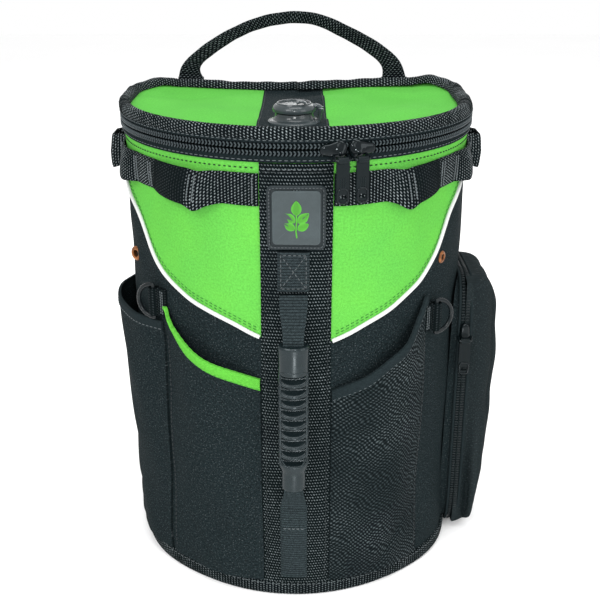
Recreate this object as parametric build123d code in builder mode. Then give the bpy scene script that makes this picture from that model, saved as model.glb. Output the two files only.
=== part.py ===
"""Cylindrical zip-lid gear bag: padded fabric body, hinged lid, webbing, pockets and hardware.

Millimetres. The origin is at the middle of the arc of the base, on the ground. +Z is up and
the front faces -Y. In plan the bag is a half circle in front, with a flat back.
"""

import os
from math import cos, radians, sin

from build123d import *

# Bag body
BASE_RADIUS = 132.5
TOP_RADIUS = 136.5
BODY_TOP = 358.0
BACK_Y = 78.0
CORNER_RADIUS = 50.0
WALL = 4.0
REAR_RISE = 373.0
REAR_RISE_Y = 37.5
LINING = 1.0
LINING_GAP = 0.4
FLOOR_PANEL = 4.0
FLOOR_BOARD = 3.0

# Webbing and trim
WEBBING = 1.8
SKIN_GAP = 0.2
SPINE_WIDTH = 50.8
BINDING_LOW = 3.2
BINDING_HIGH = 12.6
SPINE_LOW = 13.0
SPINE_HIGH = 357.4

# Yoke seam: half widths and heights of the V between the upper and lower cloth
YOKE_SEAM = [(0, 221), (27, 226), (48, 239), (71, 250), (92, 261), (106, 279), (124, 302), (138, 330)]
PIPING_WIDTH = 3.0
PIPING_HEIGHT = 2.2

# Main zip
ZIP_Z = 367.0
ZIP_RADIUS = 138.2
TAPE = 1.2
COIL = 1.5
COIL_WIDTH = 4.0
COIL_SPLIT = 0.4
ZIP_END_Y = 36.0
SLIDER_HALF_ANGLE = 4.0
SLIDER_WIDTH = 11.6
SLIDER_ANGLES = {"left": 10.2, "right": 18.4}
PULL_ANGLES = {"left": 12.0, "right": 17.3}
BAIL_RADIUS = 149.4
BAIL_Z = 361.5
BAIL_WIRE = 1.0
BAIL_POST = 1.2
BAIL_POST_X = 5.2
PULL_LENGTH = 31.0
PULL_WIDTH = 9.0
PULL_THICKNESS = 1.8

# Lid
LID_LOW = 373.5
LID_THICKNESS = 3.0
LID_EDGE_RADIUS = 136.2
RIM_LOW = 376.8
RIM_HIGH = 382.0
RIM_OUT = 2.8
STRIP_X = -2.5
STRIP_HALF = 25.4

# Cord port in the lid
PORT_X = -1.6
PORT_Y = -92.0
PORT_BORE = 10.0
PORT_FLANGE = 18.5
PORT_NECK = 13.0
PORT_CAP = 16.0
PORT_NECK_TOP = 383.6
PORT_CAP_TOP = 391.0
PORT_HINGE_X = PORT_X + 18.4
PORT_HINGE_Z = 386.0

# Gear loop bands
GEAR_LOW = 327.0
GEAR_HIGH = 350.0
GEAR_STAND_OFF = 9.2
GEAR_SIDE_STAND_OFF = 13.0
GEAR_TACKS = {"left": (10.9, 22.0, 50.0, 79.0), "right": (10.9, 27.0, 50.0, 79.0)}
GEAR_SIDE_LOOP = (88.0, 103.0)

# Front handle
GRIP_X = -2.0
GRIP_TOP = 264.0
GRIP_BOTTOM = 89.0
GRIP_PIVOT_Y = -139.4
GRIP_CENTRE_Y = -151.0
GRIP_RADIUS = 10.8
GRIP_DEPTH = 7.0
GRIP_STRAP_HALF = 7.0
SLEEVE_LOW = 112.4
SLEEVE_HIGH = 229.6

# Pockets
POCKET_LOW = 14.0
POCKET_CLOTH = 1.6
POCKET_BULGE = 9.0
POCKET_FOOT_BULGE = 1.5
LEFT_EDGE = [(-99, 236), (-94, 225), (-82, 216), (-66, 208), (-46, 201), (-20, 192)]
RIGHT_EDGE = [(98, 245), (92, 235), (81, 219), (68, 209), (50, 196), (20, 181)]
POCKET_TRIM = 9.5
SIDE_POCKET_TOP = 221.0
SIDE_POCKET_BULGE = 13.0

# Zipped pouch on the right side
POUCH_LOW = 14.0
POUCH_HIGH = 252.0
POUCH_FRONT = -46.0
POUCH_BACK = 36.0
POUCH_SPLIT = 138.5
POUCH_OUT = (158.0, 169.0, 155.0)
POUCH_WALL = 1.8
POUCH_SLIDER_Z = 192.0

# Hardware
RING_WIRE = 1.6
RING_HEIGHT = 30.0
RING_REACH = 17.0
RINGS = {"left": (-51.0, 238.0), "right": (50.0, 226.0)}
RING_STAND_OFF = 5.2
EYELETS = {"left": (-74.0, 263.0), "right": (55.0, 270.0)}
EYELET_BORE = 2.6

# Back
HANDLE_Y = 81.6
HANDLE_DEPTH = 4.4
HANDLE_LOW = 378.0
STRAP_TILT = 8.5


def wall_radius(z):
    """Outside radius of the padded wall at height z."""
    return BASE_RADIUS + (TOP_RADIUS - BASE_RADIUS) * z / BODY_TOP


def d_plan(z, radius, grow=0.0):
    """Bag plan at height z: half circle in front, straight sides, flat back, round rear corners."""
    r = radius + grow
    back = BACK_Y + grow
    corner = CORNER_RADIUS + grow
    slant = corner * sin(radians(45))
    with BuildSketch(Plane.XY.offset(z)) as plan:
        with BuildLine():
            ThreePointArc((-r, 0), (0, -r), (r, 0))
            Line((r, 0), (r, back - corner))
            ThreePointArc((r, back - corner), (r - corner + slant, back - corner + slant), (r - corner, back))
            Line((r - corner, back), (corner - r, back))
            ThreePointArc((corner - r, back), (corner - r - slant, back - corner + slant), (-r, back - corner))
            Line((-r, back - corner), (-r, 0))
        make_face()
    return plan.sketch


def layer(low, high, inner, outer):
    """Closed band that follows the wall between two heights, from inner to outer off its outside."""
    with BuildPart() as band:
        loft([d_plan(z, wall_radius(z), outer) for z in (low, high)])
        loft([d_plan(z, wall_radius(z), inner) for z in (low, high)], mode=Mode.SUBTRACT)
    return band.part


def filled(low, high, grow):
    """Solid of the bag's own form between two heights, grown or shrunk from the wall's outside."""
    with BuildPart() as form:
        loft([d_plan(z, wall_radius(z), grow) for z in (low, high)])
    return form.part


def hoop(low, high, inner, outer, radius=ZIP_RADIUS):
    """Upright band of constant plan, for the zip and the lid."""
    with BuildPart() as band:
        with BuildSketch(Plane.XY.offset(low)):
            add(d_plan(0, radius, outer))
            add(d_plan(0, radius, inner), mode=Mode.SUBTRACT)
        extrude(amount=high - low)
    return band.part


def block(x_range, y_range, z_range):
    """Box between two limits on each axis."""
    size = [b - a for a, b in (x_range, y_range, z_range)]
    middle = tuple((a + b) / 2 for a, b in (x_range, y_range, z_range))
    with BuildPart() as box:
        with Locations(middle):
            Box(*size)
    return box.part


def front_prism(points):
    """Upright prism through the front half, with its outline given as (x, z) points."""
    with BuildPart() as prism:
        with BuildSketch(Plane.XZ):
            with BuildLine():
                Polyline(*points, close=True)
            make_face()
        extrude(amount=220)
    return prism.part


def wall_point(angle, out, z):
    """Plan point out from the wall at an angle from the front; past 90 it runs along the side."""
    r = wall_radius(z)
    side = 1 if angle > 0 else -1
    if abs(angle) <= 90:
        return (r + out) * sin(radians(angle)), -(r + out) * cos(radians(angle))
    return side * (r + out), r * radians(abs(angle) - 90)


def bowed_face(z, ends, crest_angle, bulge, thickness):
    """Plan of a strip of cloth or webbing that is sewn at both ends and bows out between them."""
    a, b = ends
    gap = SKIN_GAP + 0.1
    with BuildSketch(Plane.XY.offset(z)) as face:
        with BuildLine():
            inner = [wall_point(a, gap, z), wall_point(crest_angle, gap + bulge, z), wall_point(b, gap, z)]
            outer = [wall_point(angle, out + thickness, z)
                     for angle, out in ((a, gap), (crest_angle, gap + bulge), (b, gap))]
            ThreePointArc(*inner)
            Line(inner[2], outer[2])
            ThreePointArc(*outer)
            Line(outer[0], inner[0])
        make_face()
    return face.sketch


def bowed_panel(low, high, ends, crest_angle, bulges, thickness=POCKET_CLOTH):
    """Pocket cloth bowed by bulges[0] at its foot and bulges[1] at its top."""
    with BuildPart() as panel:
        loft([bowed_face(z, ends, crest_angle, bulge, thickness)
              for z, bulge in ((low, bulges[0]), (high, bulges[1]))])
    return panel.part


def seam_curve(shift=0.0):
    """Yoke seam as (x, z) points from left to right, moved up by shift."""
    right = [(x, z + shift) for x, z in YOKE_SEAM]
    return [(-x, z) for x, z in reversed(right[1:])] + right


def save(part, name):
    """Labels a finished piece and writes it as its own STEP file."""
    part.label = name
    export_step(part, f"parts/{name}.step")


def eyelet_plane(side):
    """Plane on the wall's outside at an eyelet, with its normal pointing out."""
    angle, z = EYELETS[side]
    outward = (sin(radians(angle)), -cos(radians(angle)), 0)
    return Plane(origin=(*wall_point(angle, 0, z), z), z_dir=outward)


def eyelet_holes(radius):
    """Rods through the wall at both eyelets, for cutting their holes."""
    with BuildPart() as rods:
        for side in EYELETS:
            with BuildSketch(eyelet_plane(side)):
                Circle(radius)
            extrude(amount=12, both=True)
    return rods.part


def make_body():
    yoke_prism = front_prism([*seam_curve(), (145, 330), (145, 380), (-145, 380), (-145, 330)])
    with BuildPart() as lower_body:
        add(filled(0, BODY_TOP, 0))
        add(filled(0, BODY_TOP, -WALL), mode=Mode.SUBTRACT)
        add(yoke_prism, mode=Mode.SUBTRACT)
        add(hoop(BODY_TOP, REAR_RISE, -WALL, 0, TOP_RADIUS))
        add(block((-160, 160), (-160, REAR_RISE_Y), (BODY_TOP, REAR_RISE + 1)), mode=Mode.SUBTRACT)
        add(eyelet_holes(3.6), mode=Mode.SUBTRACT)
    save(lower_body.part, "lower_body")
    with BuildPart() as upper_yoke:
        add(layer(0, BODY_TOP, -WALL, 0))
        add(yoke_prism, mode=Mode.INTERSECT)
    save(upper_yoke.part, "upper_yoke")
    with BuildPart() as lining:
        add(filled(FLOOR_PANEL + FLOOR_BOARD + 0.4, BODY_TOP - 2, -WALL - LINING_GAP))
        add(filled(FLOOR_PANEL + FLOOR_BOARD + 0.4 + LINING, BODY_TOP, -WALL - LINING_GAP - LINING),
            mode=Mode.SUBTRACT)
        add(eyelet_holes(3.6), mode=Mode.SUBTRACT)
    save(lining.part, "lining")
    save(filled(0, FLOOR_PANEL, -WALL - 0.1), "base_panel")
    save(filled(FLOOR_PANEL + 0.1, FLOOR_PANEL + 0.1 + FLOOR_BOARD, -WALL - 1.5), "base_board")
    save(layer(BINDING_LOW, BINDING_HIGH, SKIN_GAP, SKIN_GAP + WEBBING), "base_binding")


def make_piping():
    low = seam_curve(-PIPING_WIDTH / 2)
    high = seam_curve(PIPING_WIDTH / 2)
    under_spine = SPINE_WIDTH / 2 + 0.2
    with BuildPart() as piping:
        add(layer(200, GEAR_LOW - 0.5, SKIN_GAP / 2, SKIN_GAP / 2 + PIPING_HEIGHT))
        add(front_prism([*low, *reversed(high)]), mode=Mode.INTERSECT)
        add(block((-under_spine, under_spine), (-160, 0), (190, 400)), mode=Mode.SUBTRACT)
    save(piping.part, "piping")


def make_spine():
    half = SPINE_WIDTH / 2
    with BuildPart() as spine:
        add(layer(SPINE_LOW, SPINE_HIGH, SKIN_GAP, SKIN_GAP + WEBBING))
        add(block((-half, half), (-160, 0), (0, 400)), mode=Mode.INTERSECT)
    save(spine.part, "spine_strap")
    with BuildPart() as label:
        add(layer(296, 342.5, SKIN_GAP + WEBBING + 0.1, SKIN_GAP + WEBBING + 1.7))
        add(block((-20.5, 20.5), (-160, 0), (290, 350)), mode=Mode.INTERSECT)
    save(label.part, "label_patch")
    for name, low, high, half_width in (("handle_patch_upper", GRIP_TOP + 1, 294, 10.5),
                                        ("handle_patch_lower", 20, GRIP_BOTTOM - 1, 9.5)):
        with BuildPart() as patch:
            add(layer(low, high, SKIN_GAP + WEBBING + 0.1, SKIN_GAP + WEBBING + 3.4))
            add(block((GRIP_X - half_width, GRIP_X + half_width), (-160, 0), (0, 400)), mode=Mode.INTERSECT)
        save(patch.part, name)


def make_zip():
    front = block((-170, 170), (-170, ZIP_END_Y), (340, 390))
    bands = {
        "zip_tape_lower": (BODY_TOP - 0.3, ZIP_Z - COIL_SPLIT, -TAPE, 0),
        "zip_coil_lower": (ZIP_Z - COIL_SPLIT - COIL_WIDTH, ZIP_Z - COIL_SPLIT, 0.1, 0.1 + COIL),
        "zip_tape_upper": (ZIP_Z + COIL_SPLIT, RIM_LOW - 0.2, -TAPE, 0),
        "zip_coil_upper": (ZIP_Z + COIL_SPLIT, ZIP_Z + COIL_SPLIT + COIL_WIDTH, 0.1, 0.1 + COIL),
        "lid_gusset": (ZIP_Z + COIL_SPLIT + COIL_WIDTH + 0.2, RIM_LOW - 0.2, 0.1, 1.4),
    }
    for name, (low, high, inner, outer) in bands.items():
        with BuildPart() as band:
            add(hoop(low, high, inner, outer))
            add(front, mode=Mode.INTERSECT)
        save(band.part, name)


def sector(angle, half_angle, inner, outer, low, high):
    """Piece of an upright ring about the bag's axis, centred at an angle from the front."""
    centre = -90 + angle
    with BuildPart() as piece:
        with BuildSketch(Plane.XY.offset(low)):
            with BuildLine():
                CenterArc((0, 0), outer, centre - half_angle, 2 * half_angle)
                CenterArc((0, 0), inner, centre - half_angle, 2 * half_angle)
                for edge in (centre - half_angle, centre + half_angle):
                    ray = (cos(radians(edge)), sin(radians(edge)))
                    Line((inner * ray[0], inner * ray[1]), (outer * ray[0], outer * ray[1]))
            make_face()
        extrude(amount=high - low)
    return piece.part


def bail_plane(angle):
    """Plane at a slider's bail, x along the bail, y up and its normal pointing out."""
    out = (sin(radians(angle)), -cos(radians(angle)), 0)
    along = (cos(radians(angle)), sin(radians(angle)), 0)
    return Plane(origin=(BAIL_RADIUS * out[0], BAIL_RADIUS * out[1], BAIL_Z), x_dir=along, z_dir=out)


def make_slider(side):
    angle = SLIDER_ANGLES[side]
    low, high = ZIP_Z - SLIDER_WIDTH / 2, ZIP_Z + SLIDER_WIDTH / 2
    face = ZIP_RADIUS + 0.1 + COIL + 0.5
    back = ZIP_RADIUS - TAPE - 0.4
    outer_end = angle + (SLIDER_HALF_ANGLE - 1.2) * (-1 if side == "left" else 1)
    bail = bail_plane(PULL_ANGLES[side])
    with BuildPart() as slider:
        add(sector(angle, SLIDER_HALF_ANGLE, face, face + 2.4, low, high))
        add(sector(angle, SLIDER_HALF_ANGLE, back - 1.6, back, low, high))
        add(sector(outer_end, 0.8, back - 0.5, face + 0.5, ZIP_Z - 0.2, ZIP_Z + 0.2))
        for end in (-1, 1):
            with BuildSketch(bail):
                with Locations((end * BAIL_POST_X, 0)):
                    Rectangle(BAIL_POST, 2.6)
            extrude(amount=1.2)
            with BuildSketch(bail):
                with Locations((end * BAIL_POST_X, 0)):
                    Rectangle(BAIL_POST, 2.6)
            extrude(amount=face + 1.0 - BAIL_RADIUS)
        with BuildSketch(Plane(origin=bail.origin, x_dir=(0, 0, 1), z_dir=bail.x_dir)):
            Circle(BAIL_WIRE)
        extrude(amount=BAIL_POST_X, both=True)
    save(slider.part, f"slider_{side}")


def make_pull(name, plane):
    """Zip pull that hangs from a bail: round eye at the top, slot near the foot."""
    with BuildPart() as pull:
        with BuildSketch(plane.offset(-PULL_THICKNESS / 2)):
            with Locations((0, -PULL_LENGTH / 2 + 1.2)):
                RectangleRounded(PULL_WIDTH, PULL_LENGTH, 3.2)
            with Locations((0, -PULL_LENGTH + 6.2)):
                SlotOverall(5.2, 3.0, mode=Mode.SUBTRACT)
        extrude(amount=PULL_THICKNESS)
        with BuildSketch(Plane(origin=plane.origin, x_dir=(0, 0, 1), z_dir=plane.x_dir)):
            Circle(2.3)
        extrude(amount=3.6, both=True)
        with BuildSketch(Plane(origin=plane.origin, x_dir=(0, 0, 1), z_dir=plane.x_dir)):
            Circle(BAIL_WIRE + 0.12)
        extrude(amount=20, both=True, mode=Mode.SUBTRACT)
    save(pull.part, name)


def make_lid():
    strip = (STRIP_X - STRIP_HALF, STRIP_X + STRIP_HALF)
    panels = {"lid_panel_left": (-150, strip[0] - 0.1), "lid_center_strip": strip,
              "lid_panel_right": (strip[1] + 0.1, 150)}
    for name, x_range in panels.items():
        with BuildPart() as panel:
            with BuildSketch(Plane.XY.offset(LID_LOW)):
                add(d_plan(0, LID_EDGE_RADIUS, -0.2))
            extrude(amount=LID_THICKNESS)
            add(block(x_range, (-150, 150), (360, 390)), mode=Mode.INTERSECT)
            if name == "lid_center_strip":
                with BuildSketch(Plane.XY.offset(LID_LOW)):
                    with Locations((PORT_X, PORT_Y)):
                        Circle(PORT_BORE)
                extrude(amount=LID_THICKNESS, mode=Mode.SUBTRACT)
        save(panel.part, name)
    with BuildPart() as binding:
        with BuildSketch(Plane.XY.offset(RIM_LOW)):
            add(d_plan(0, ZIP_RADIUS, RIM_OUT - 0.8))
            add(d_plan(0, ZIP_RADIUS, -4.0), mode=Mode.SUBTRACT)
        extrude(amount=RIM_HIGH - RIM_LOW)
        fillet(binding.edges().group_by(Axis.Z)[-1], 1.0)
    save(binding.part, "lid_binding")


def make_port():
    seat = LID_LOW + LID_THICKNESS + 0.1
    with BuildPart() as flange:
        for radius, low, high in ((PORT_FLANGE, seat, seat + 2.0), (PORT_NECK, seat + 2.0, PORT_NECK_TOP)):
            with BuildSketch(Plane.XY.offset(low)):
                with Locations((PORT_X, PORT_Y)):
                    Circle(radius)
                    Circle(PORT_BORE, mode=Mode.SUBTRACT)
            extrude(amount=high - low)
        for y in (-4.6, 4.6):
            add(block((PORT_HINGE_X - 1.6, PORT_HINGE_X + 2.6), (PORT_Y + y - 1.1, PORT_Y + y + 1.1),
                      (seat + 0.4, PORT_HINGE_Z + 2.2)))
        add(block((PORT_X + 14, PORT_HINGE_X + 2.6), (PORT_Y - 5.7, PORT_Y + 5.7), (seat, seat + 2.0)))
        with BuildSketch(Plane(origin=(PORT_HINGE_X + 0.6, PORT_Y, PORT_HINGE_Z), z_dir=(0, 1, 0))):
            Circle(1.1)
        extrude(amount=6, both=True, mode=Mode.SUBTRACT)
    save(flange.part, "port_flange")
    pin_plane = Plane(origin=(PORT_HINGE_X + 0.6, PORT_Y, PORT_HINGE_Z), z_dir=(0, 1, 0))
    with BuildPart() as pin:
        with BuildSketch(pin_plane):
            Circle(1.08)
        extrude(amount=5.6, both=True)
    save(pin.part, "port_hinge_pin")
    with BuildPart() as cap:
        with BuildSketch(Plane.XY.offset(PORT_NECK_TOP + 0.2)):
            with Locations((PORT_X, PORT_Y)):
                Circle(PORT_CAP)
        extrude(amount=PORT_CAP_TOP - PORT_NECK_TOP - 0.2)
        fillet(cap.edges().group_by(Axis.Z)[-1], 2.0)
        add(block((PORT_X + 4, PORT_X + 9), (PORT_Y - 3, PORT_Y + 3), (PORT_CAP_TOP - 0.5, PORT_CAP_TOP + 1.6)))
        add(block((PORT_X + 10, PORT_HINGE_X + 3.2), (PORT_Y - 6, PORT_Y + 6), (380, PORT_HINGE_Z + 6)),
            mode=Mode.SUBTRACT)
        add(block((PORT_X + 8, PORT_HINGE_X + 0.6), (PORT_Y - 3.2, PORT_Y + 3.2),
                  (PORT_HINGE_Z - 2.0, PORT_HINGE_Z + 2.0)))
        with BuildSketch(pin_plane):
            Circle(2.2)
        extrude(amount=3.2, both=True)
        with BuildSketch(pin_plane):
            Circle(1.16)
        extrude(amount=8, both=True, mode=Mode.SUBTRACT)
    save(cap.part, "port_cap")


def make_gear_band(side):
    sign = -1 if side == "left" else 1
    tacks = GEAR_TACKS[side]
    with BuildPart() as band:
        for index, (a, b) in enumerate(zip(tacks, tacks[1:])):
            bulge = 0.15 if index == 0 else GEAR_STAND_OFF
            crest = (a + b) / 2 - (0 if index == 0 else 2)
            add(extrude_band(bowed_face(GEAR_HIGH, (sign * a, sign * b), sign * crest, bulge, WEBBING)))
        a, b = tacks[-1], GEAR_SIDE_LOOP[0]
        add(extrude_band(bowed_face(GEAR_HIGH, (sign * a, sign * b), sign * (a + b) / 2, 0.15, WEBBING)))
        a, b = GEAR_SIDE_LOOP
        add(extrude_band(bowed_face(GEAR_HIGH, (sign * a, sign * b), sign * (a + b) / 2,
                                    GEAR_SIDE_STAND_OFF, WEBBING)))
    save(band.part, f"gear_band_{side}")


def extrude_band(face):
    """Webbing of the gear band's width, hanging down from a plan at its top edge."""
    with BuildPart() as webbing:
        add(face)
        extrude(amount=GEAR_LOW - GEAR_HIGH)
    return webbing.part


def make_front_handle():
    inner_end, outer_end = GRIP_PIVOT_Y - 1.6, GRIP_PIVOT_Y - 4.2
    inner, outer = GRIP_CENTRE_Y + 3.0, GRIP_CENTRE_Y - 3.0
    with BuildPart() as strap:
        with BuildSketch(Plane.YZ.offset(GRIP_X)):
            with BuildLine():
                Polyline((inner_end, GRIP_TOP), (outer_end, GRIP_TOP), (outer, 236), (outer, 112),
                         (outer_end, GRIP_BOTTOM), (inner_end, GRIP_BOTTOM), (inner, 114), (inner, 234), close=True)
            make_face()
        extrude(amount=GRIP_STRAP_HALF, both=True)
        add(block((-40, 40), (-170, -100), (SLEEVE_LOW - 0.2, SLEEVE_HIGH + 0.2)), mode=Mode.SUBTRACT)
    pieces = strap.part.solids().sort_by(Axis.Z)
    save(Part() + pieces[0], "grip_strap_lower")
    save(Part() + pieces[-1], "grip_strap_upper")
    with BuildPart() as grip:
        with BuildSketch(Plane.XY.offset(SLEEVE_LOW)):
            with Locations((GRIP_X, GRIP_CENTRE_Y)):
                Ellipse(GRIP_RADIUS, GRIP_DEPTH)
        extrude(amount=SLEEVE_HIGH - SLEEVE_LOW)
        chamfer(grip.edges().filter_by(GeomType.ELLIPSE), 1.5)
    save(grip.part, "grip_sleeve")


def make_front_pockets():
    for side, ends, edge in (("left", (-11.2, -47.5), LEFT_EDGE), ("right", (11.2, 46.5), RIGHT_EDGE)):
        outer_x = edge[0][0]
        inner_x = edge[-1][0]
        lower = [(x, z - POCKET_TRIM) for x, z in edge]
        panel = bowed_panel(POCKET_LOW, 260, ends, sum(ends) / 2, (POCKET_FOOT_BULGE, POCKET_BULGE))
        trim = bowed_panel(POCKET_LOW, 260, ends, sum(ends) / 2, (POCKET_FOOT_BULGE, POCKET_BULGE), POCKET_CLOTH + 0.7)
        with BuildPart() as pocket:
            add(panel)
            add(front_prism([*lower, (inner_x, 0), (outer_x, 0)]), mode=Mode.INTERSECT)
        save(pocket.part, f"front_pocket_{side}")
        with BuildPart() as binding:
            add(trim)
            add(front_prism([*edge, *reversed([(x, z + 0.1) for x, z in lower])]), mode=Mode.INTERSECT)
        save(binding.part, f"front_pocket_{side}_binding")


def make_side_pocket():
    ends, crest = (-49.5, -103.0), -78.0
    bulges = (4.0, SIDE_POCKET_BULGE)
    top = SIDE_POCKET_TOP
    with BuildPart() as pocket:
        add(bowed_panel(POCKET_LOW, top, ends, crest, bulges))
        add(block((-170, 0), (-170, 100), (top - 8, top + 1)), mode=Mode.SUBTRACT)
    save(pocket.part, "side_pocket")
    with BuildPart() as hem:
        add(bowed_panel(POCKET_LOW, top, ends, crest, bulges, POCKET_CLOTH + 0.6))
        add(block((-170, 0), (-170, 100), (0, top - 7.9)), mode=Mode.SUBTRACT)
    save(hem.part, "side_pocket_hem")


def pouch_form(inset):
    """Solid of the pouch's outside, shrunk by inset, fullest at mid height."""
    heights = (POUCH_LOW + inset, 140.0, POUCH_HIGH - inset)
    with BuildPart() as form:
        for z, out in zip(heights, POUCH_OUT):
            with BuildSketch(Plane.XY.offset(z)):
                width = out - inset - 110
                depth = POUCH_BACK - POUCH_FRONT - 2 * inset
                with Locations((110 + width / 2, (POUCH_FRONT + POUCH_BACK) / 2)):
                    RectangleRounded(width, depth, 12 - inset)
        loft()
    return form.part


def make_pouch():
    wall = filled(0, BODY_TOP, SKIN_GAP + 0.2)
    with BuildPart() as shell:
        add(pouch_form(0))
        add(pouch_form(POUCH_WALL), mode=Mode.SUBTRACT)
        add(wall, mode=Mode.SUBTRACT)
    for name, x_range in (("pouch_gusset", (0, POUCH_SPLIT - 0.3)), ("pouch_cover", (POUCH_SPLIT + 0.3, 220))):
        with BuildPart() as half:
            add(shell.part)
            add(block(x_range, (-200, 200), (0, 400)), mode=Mode.INTERSECT)
        save(Part() + half.part.solids().sort_by(SortBy.VOLUME)[-1], name)
    with BuildPart() as coil:
        add(block((POUCH_SPLIT - 3.4, POUCH_SPLIT - 0.4), (POUCH_FRONT - 1.3, POUCH_FRONT - 0.1), (28, 243)))
    save(coil.part, "pouch_coil_inner")
    with BuildPart() as outer_coil:
        add(block((POUCH_SPLIT + 0.4, POUCH_SPLIT + 3.4), (POUCH_FRONT - 1.3, POUCH_FRONT - 0.1), (28, 243)))
    save(outer_coil.part, "pouch_coil_outer")
    z = POUCH_SLIDER_Z
    face = POUCH_FRONT - 1.7
    with BuildPart() as slider:
        add(block((POUCH_SPLIT - 5, POUCH_SPLIT + 5), (face - 2.2, face), (z - 9.5, z + 9.5)))
        for x in (POUCH_SPLIT - BAIL_POST_X, POUCH_SPLIT + BAIL_POST_X):
            add(block((x - BAIL_POST / 2, x + BAIL_POST / 2), (face - 6.4, face - 1.0), (z - 5.3, z - 2.7)))
        with BuildSketch(Plane(origin=(POUCH_SPLIT, face - 5.2, z - 4), x_dir=(0, 0, 1), z_dir=(1, 0, 0))):
            Circle(BAIL_WIRE)
        extrude(amount=BAIL_POST_X, both=True)
        add(block((POUCH_SPLIT - 0.2, POUCH_SPLIT + 0.2), (face - 1, POUCH_FRONT + 2.6), (z + 5, z + 8)))
        add(block((POUCH_SPLIT - 4, POUCH_SPLIT + 4), (POUCH_FRONT + 2.2, POUCH_FRONT + 3.4), (z - 9.5, z + 9.5)))
    save(slider.part, "pouch_slider")
    make_pull("pouch_pull", Plane(origin=(POUCH_SPLIT, face - 5.2, z - 4), x_dir=(1, 0, 0), z_dir=(0, -1, 0)))


def make_ring(side):
    angle, z = RINGS[side]
    sign = -1 if side == "left" else 1
    pivot = wall_point(angle, RING_STAND_OFF, z)
    reach = radians(-90 + angle + sign * 65)
    ring_x = (cos(reach), sin(reach), 0)
    half = RING_HEIGHT / 2 - RING_WIRE
    bow = RING_REACH - 2 * RING_WIRE
    bow_centre = (bow**2 - half**2) / (2 * bow)
    bow_radius = bow - bow_centre
    flat = Plane(origin=(*pivot, z), x_dir=ring_x, z_dir=Vector(ring_x).cross(Vector(0, 0, 1)))
    with BuildPart() as ring:
        with BuildLine(flat):
            CenterArc((bow_centre, 0), bow_radius, -90, 180)
        top = flat.from_local_coords((bow_centre, bow_radius, 0))
        with BuildSketch(Plane(origin=top, z_dir=ring_x)):
            Circle(RING_WIRE)
        sweep()
        with Locations((*pivot, z)):
            Cylinder(RING_WIRE, 2 * half)
        with Locations((*pivot, z + half), (*pivot, z - half)):
            Sphere(RING_WIRE)
    save(ring.part, f"d_ring_{side}")
    tunnel = Plane(origin=(*pivot, z - 11))
    with BuildPart() as tab:
        with BuildSketch(tunnel):
            Circle(RING_WIRE + 1.6)
        extrude(amount=22)
        add(sector(angle - sign * 1.5, 1.45, wall_radius(z) + 0.6, wall_radius(z) + RING_STAND_OFF + 1.5,
                   z - 11, z + 11))
        with BuildSketch(tunnel):
            Circle(RING_WIRE + 0.12)
        extrude(amount=22, mode=Mode.SUBTRACT)
    save(tab.part, f"d_ring_{side}_tab")


def make_eyelets():
    for side in EYELETS:
        plane = eyelet_plane(side)
        inside = -WALL - LINING_GAP - LINING - 0.4
        with BuildPart() as eyelet:
            for radius, low, high in ((3.5, inside - 0.9, 0.95), (5.75, 0.1, 0.95), (5.75, inside - 0.9, inside)):
                with BuildSketch(plane.offset(low)):
                    Circle(radius)
                extrude(amount=high - low)
            with BuildSketch(plane.offset(-10)):
                Circle(EYELET_BORE)
            extrude(amount=20, mode=Mode.SUBTRACT)
        save(eyelet.part, f"eyelet_{side}")


def make_top_handle():
    low = HANDLE_LOW
    with BuildPart() as handle:
        with BuildSketch(Plane.XZ.offset(-HANDLE_Y - HANDLE_DEPTH)):
            with BuildLine():
                Spline((-104, low), (-97, 400), (-75, 418), (-40, 432), (-4, 437.5), (34, 432), (68, 418),
                       (90, 400), (97, low))
                Line((97, low), (76, low))
                Spline((76, low), (72, 398), (54, 413), (26, 424), (-4, 428.5), (-36, 424), (-64, 412),
                       (-80, 398), (-82, low))
                Line((-82, low), (-104, low))
            make_face()
        extrude(amount=HANDLE_DEPTH)
    save(handle.part, "top_handle")
    with BuildPart() as anchors:
        for x in (-93, 86.5):
            add(block((x - 11.5, x + 11.5), (BACK_Y + 0.2, BACK_Y + 2.4), (349, 375)))
    save(anchors.part, "top_handle_anchors")


def strap_plane(sign):
    """Plane of a shoulder strap's side profile: x points back, y runs down along the strap."""
    tilt = radians(STRAP_TILT)
    down = Vector(sign * sin(tilt), 0, -cos(tilt))
    back = Vector(0, 1, 0)
    return Plane(origin=(sign * 58, BACK_Y, 340), x_dir=back, z_dir=back.cross(down))


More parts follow.
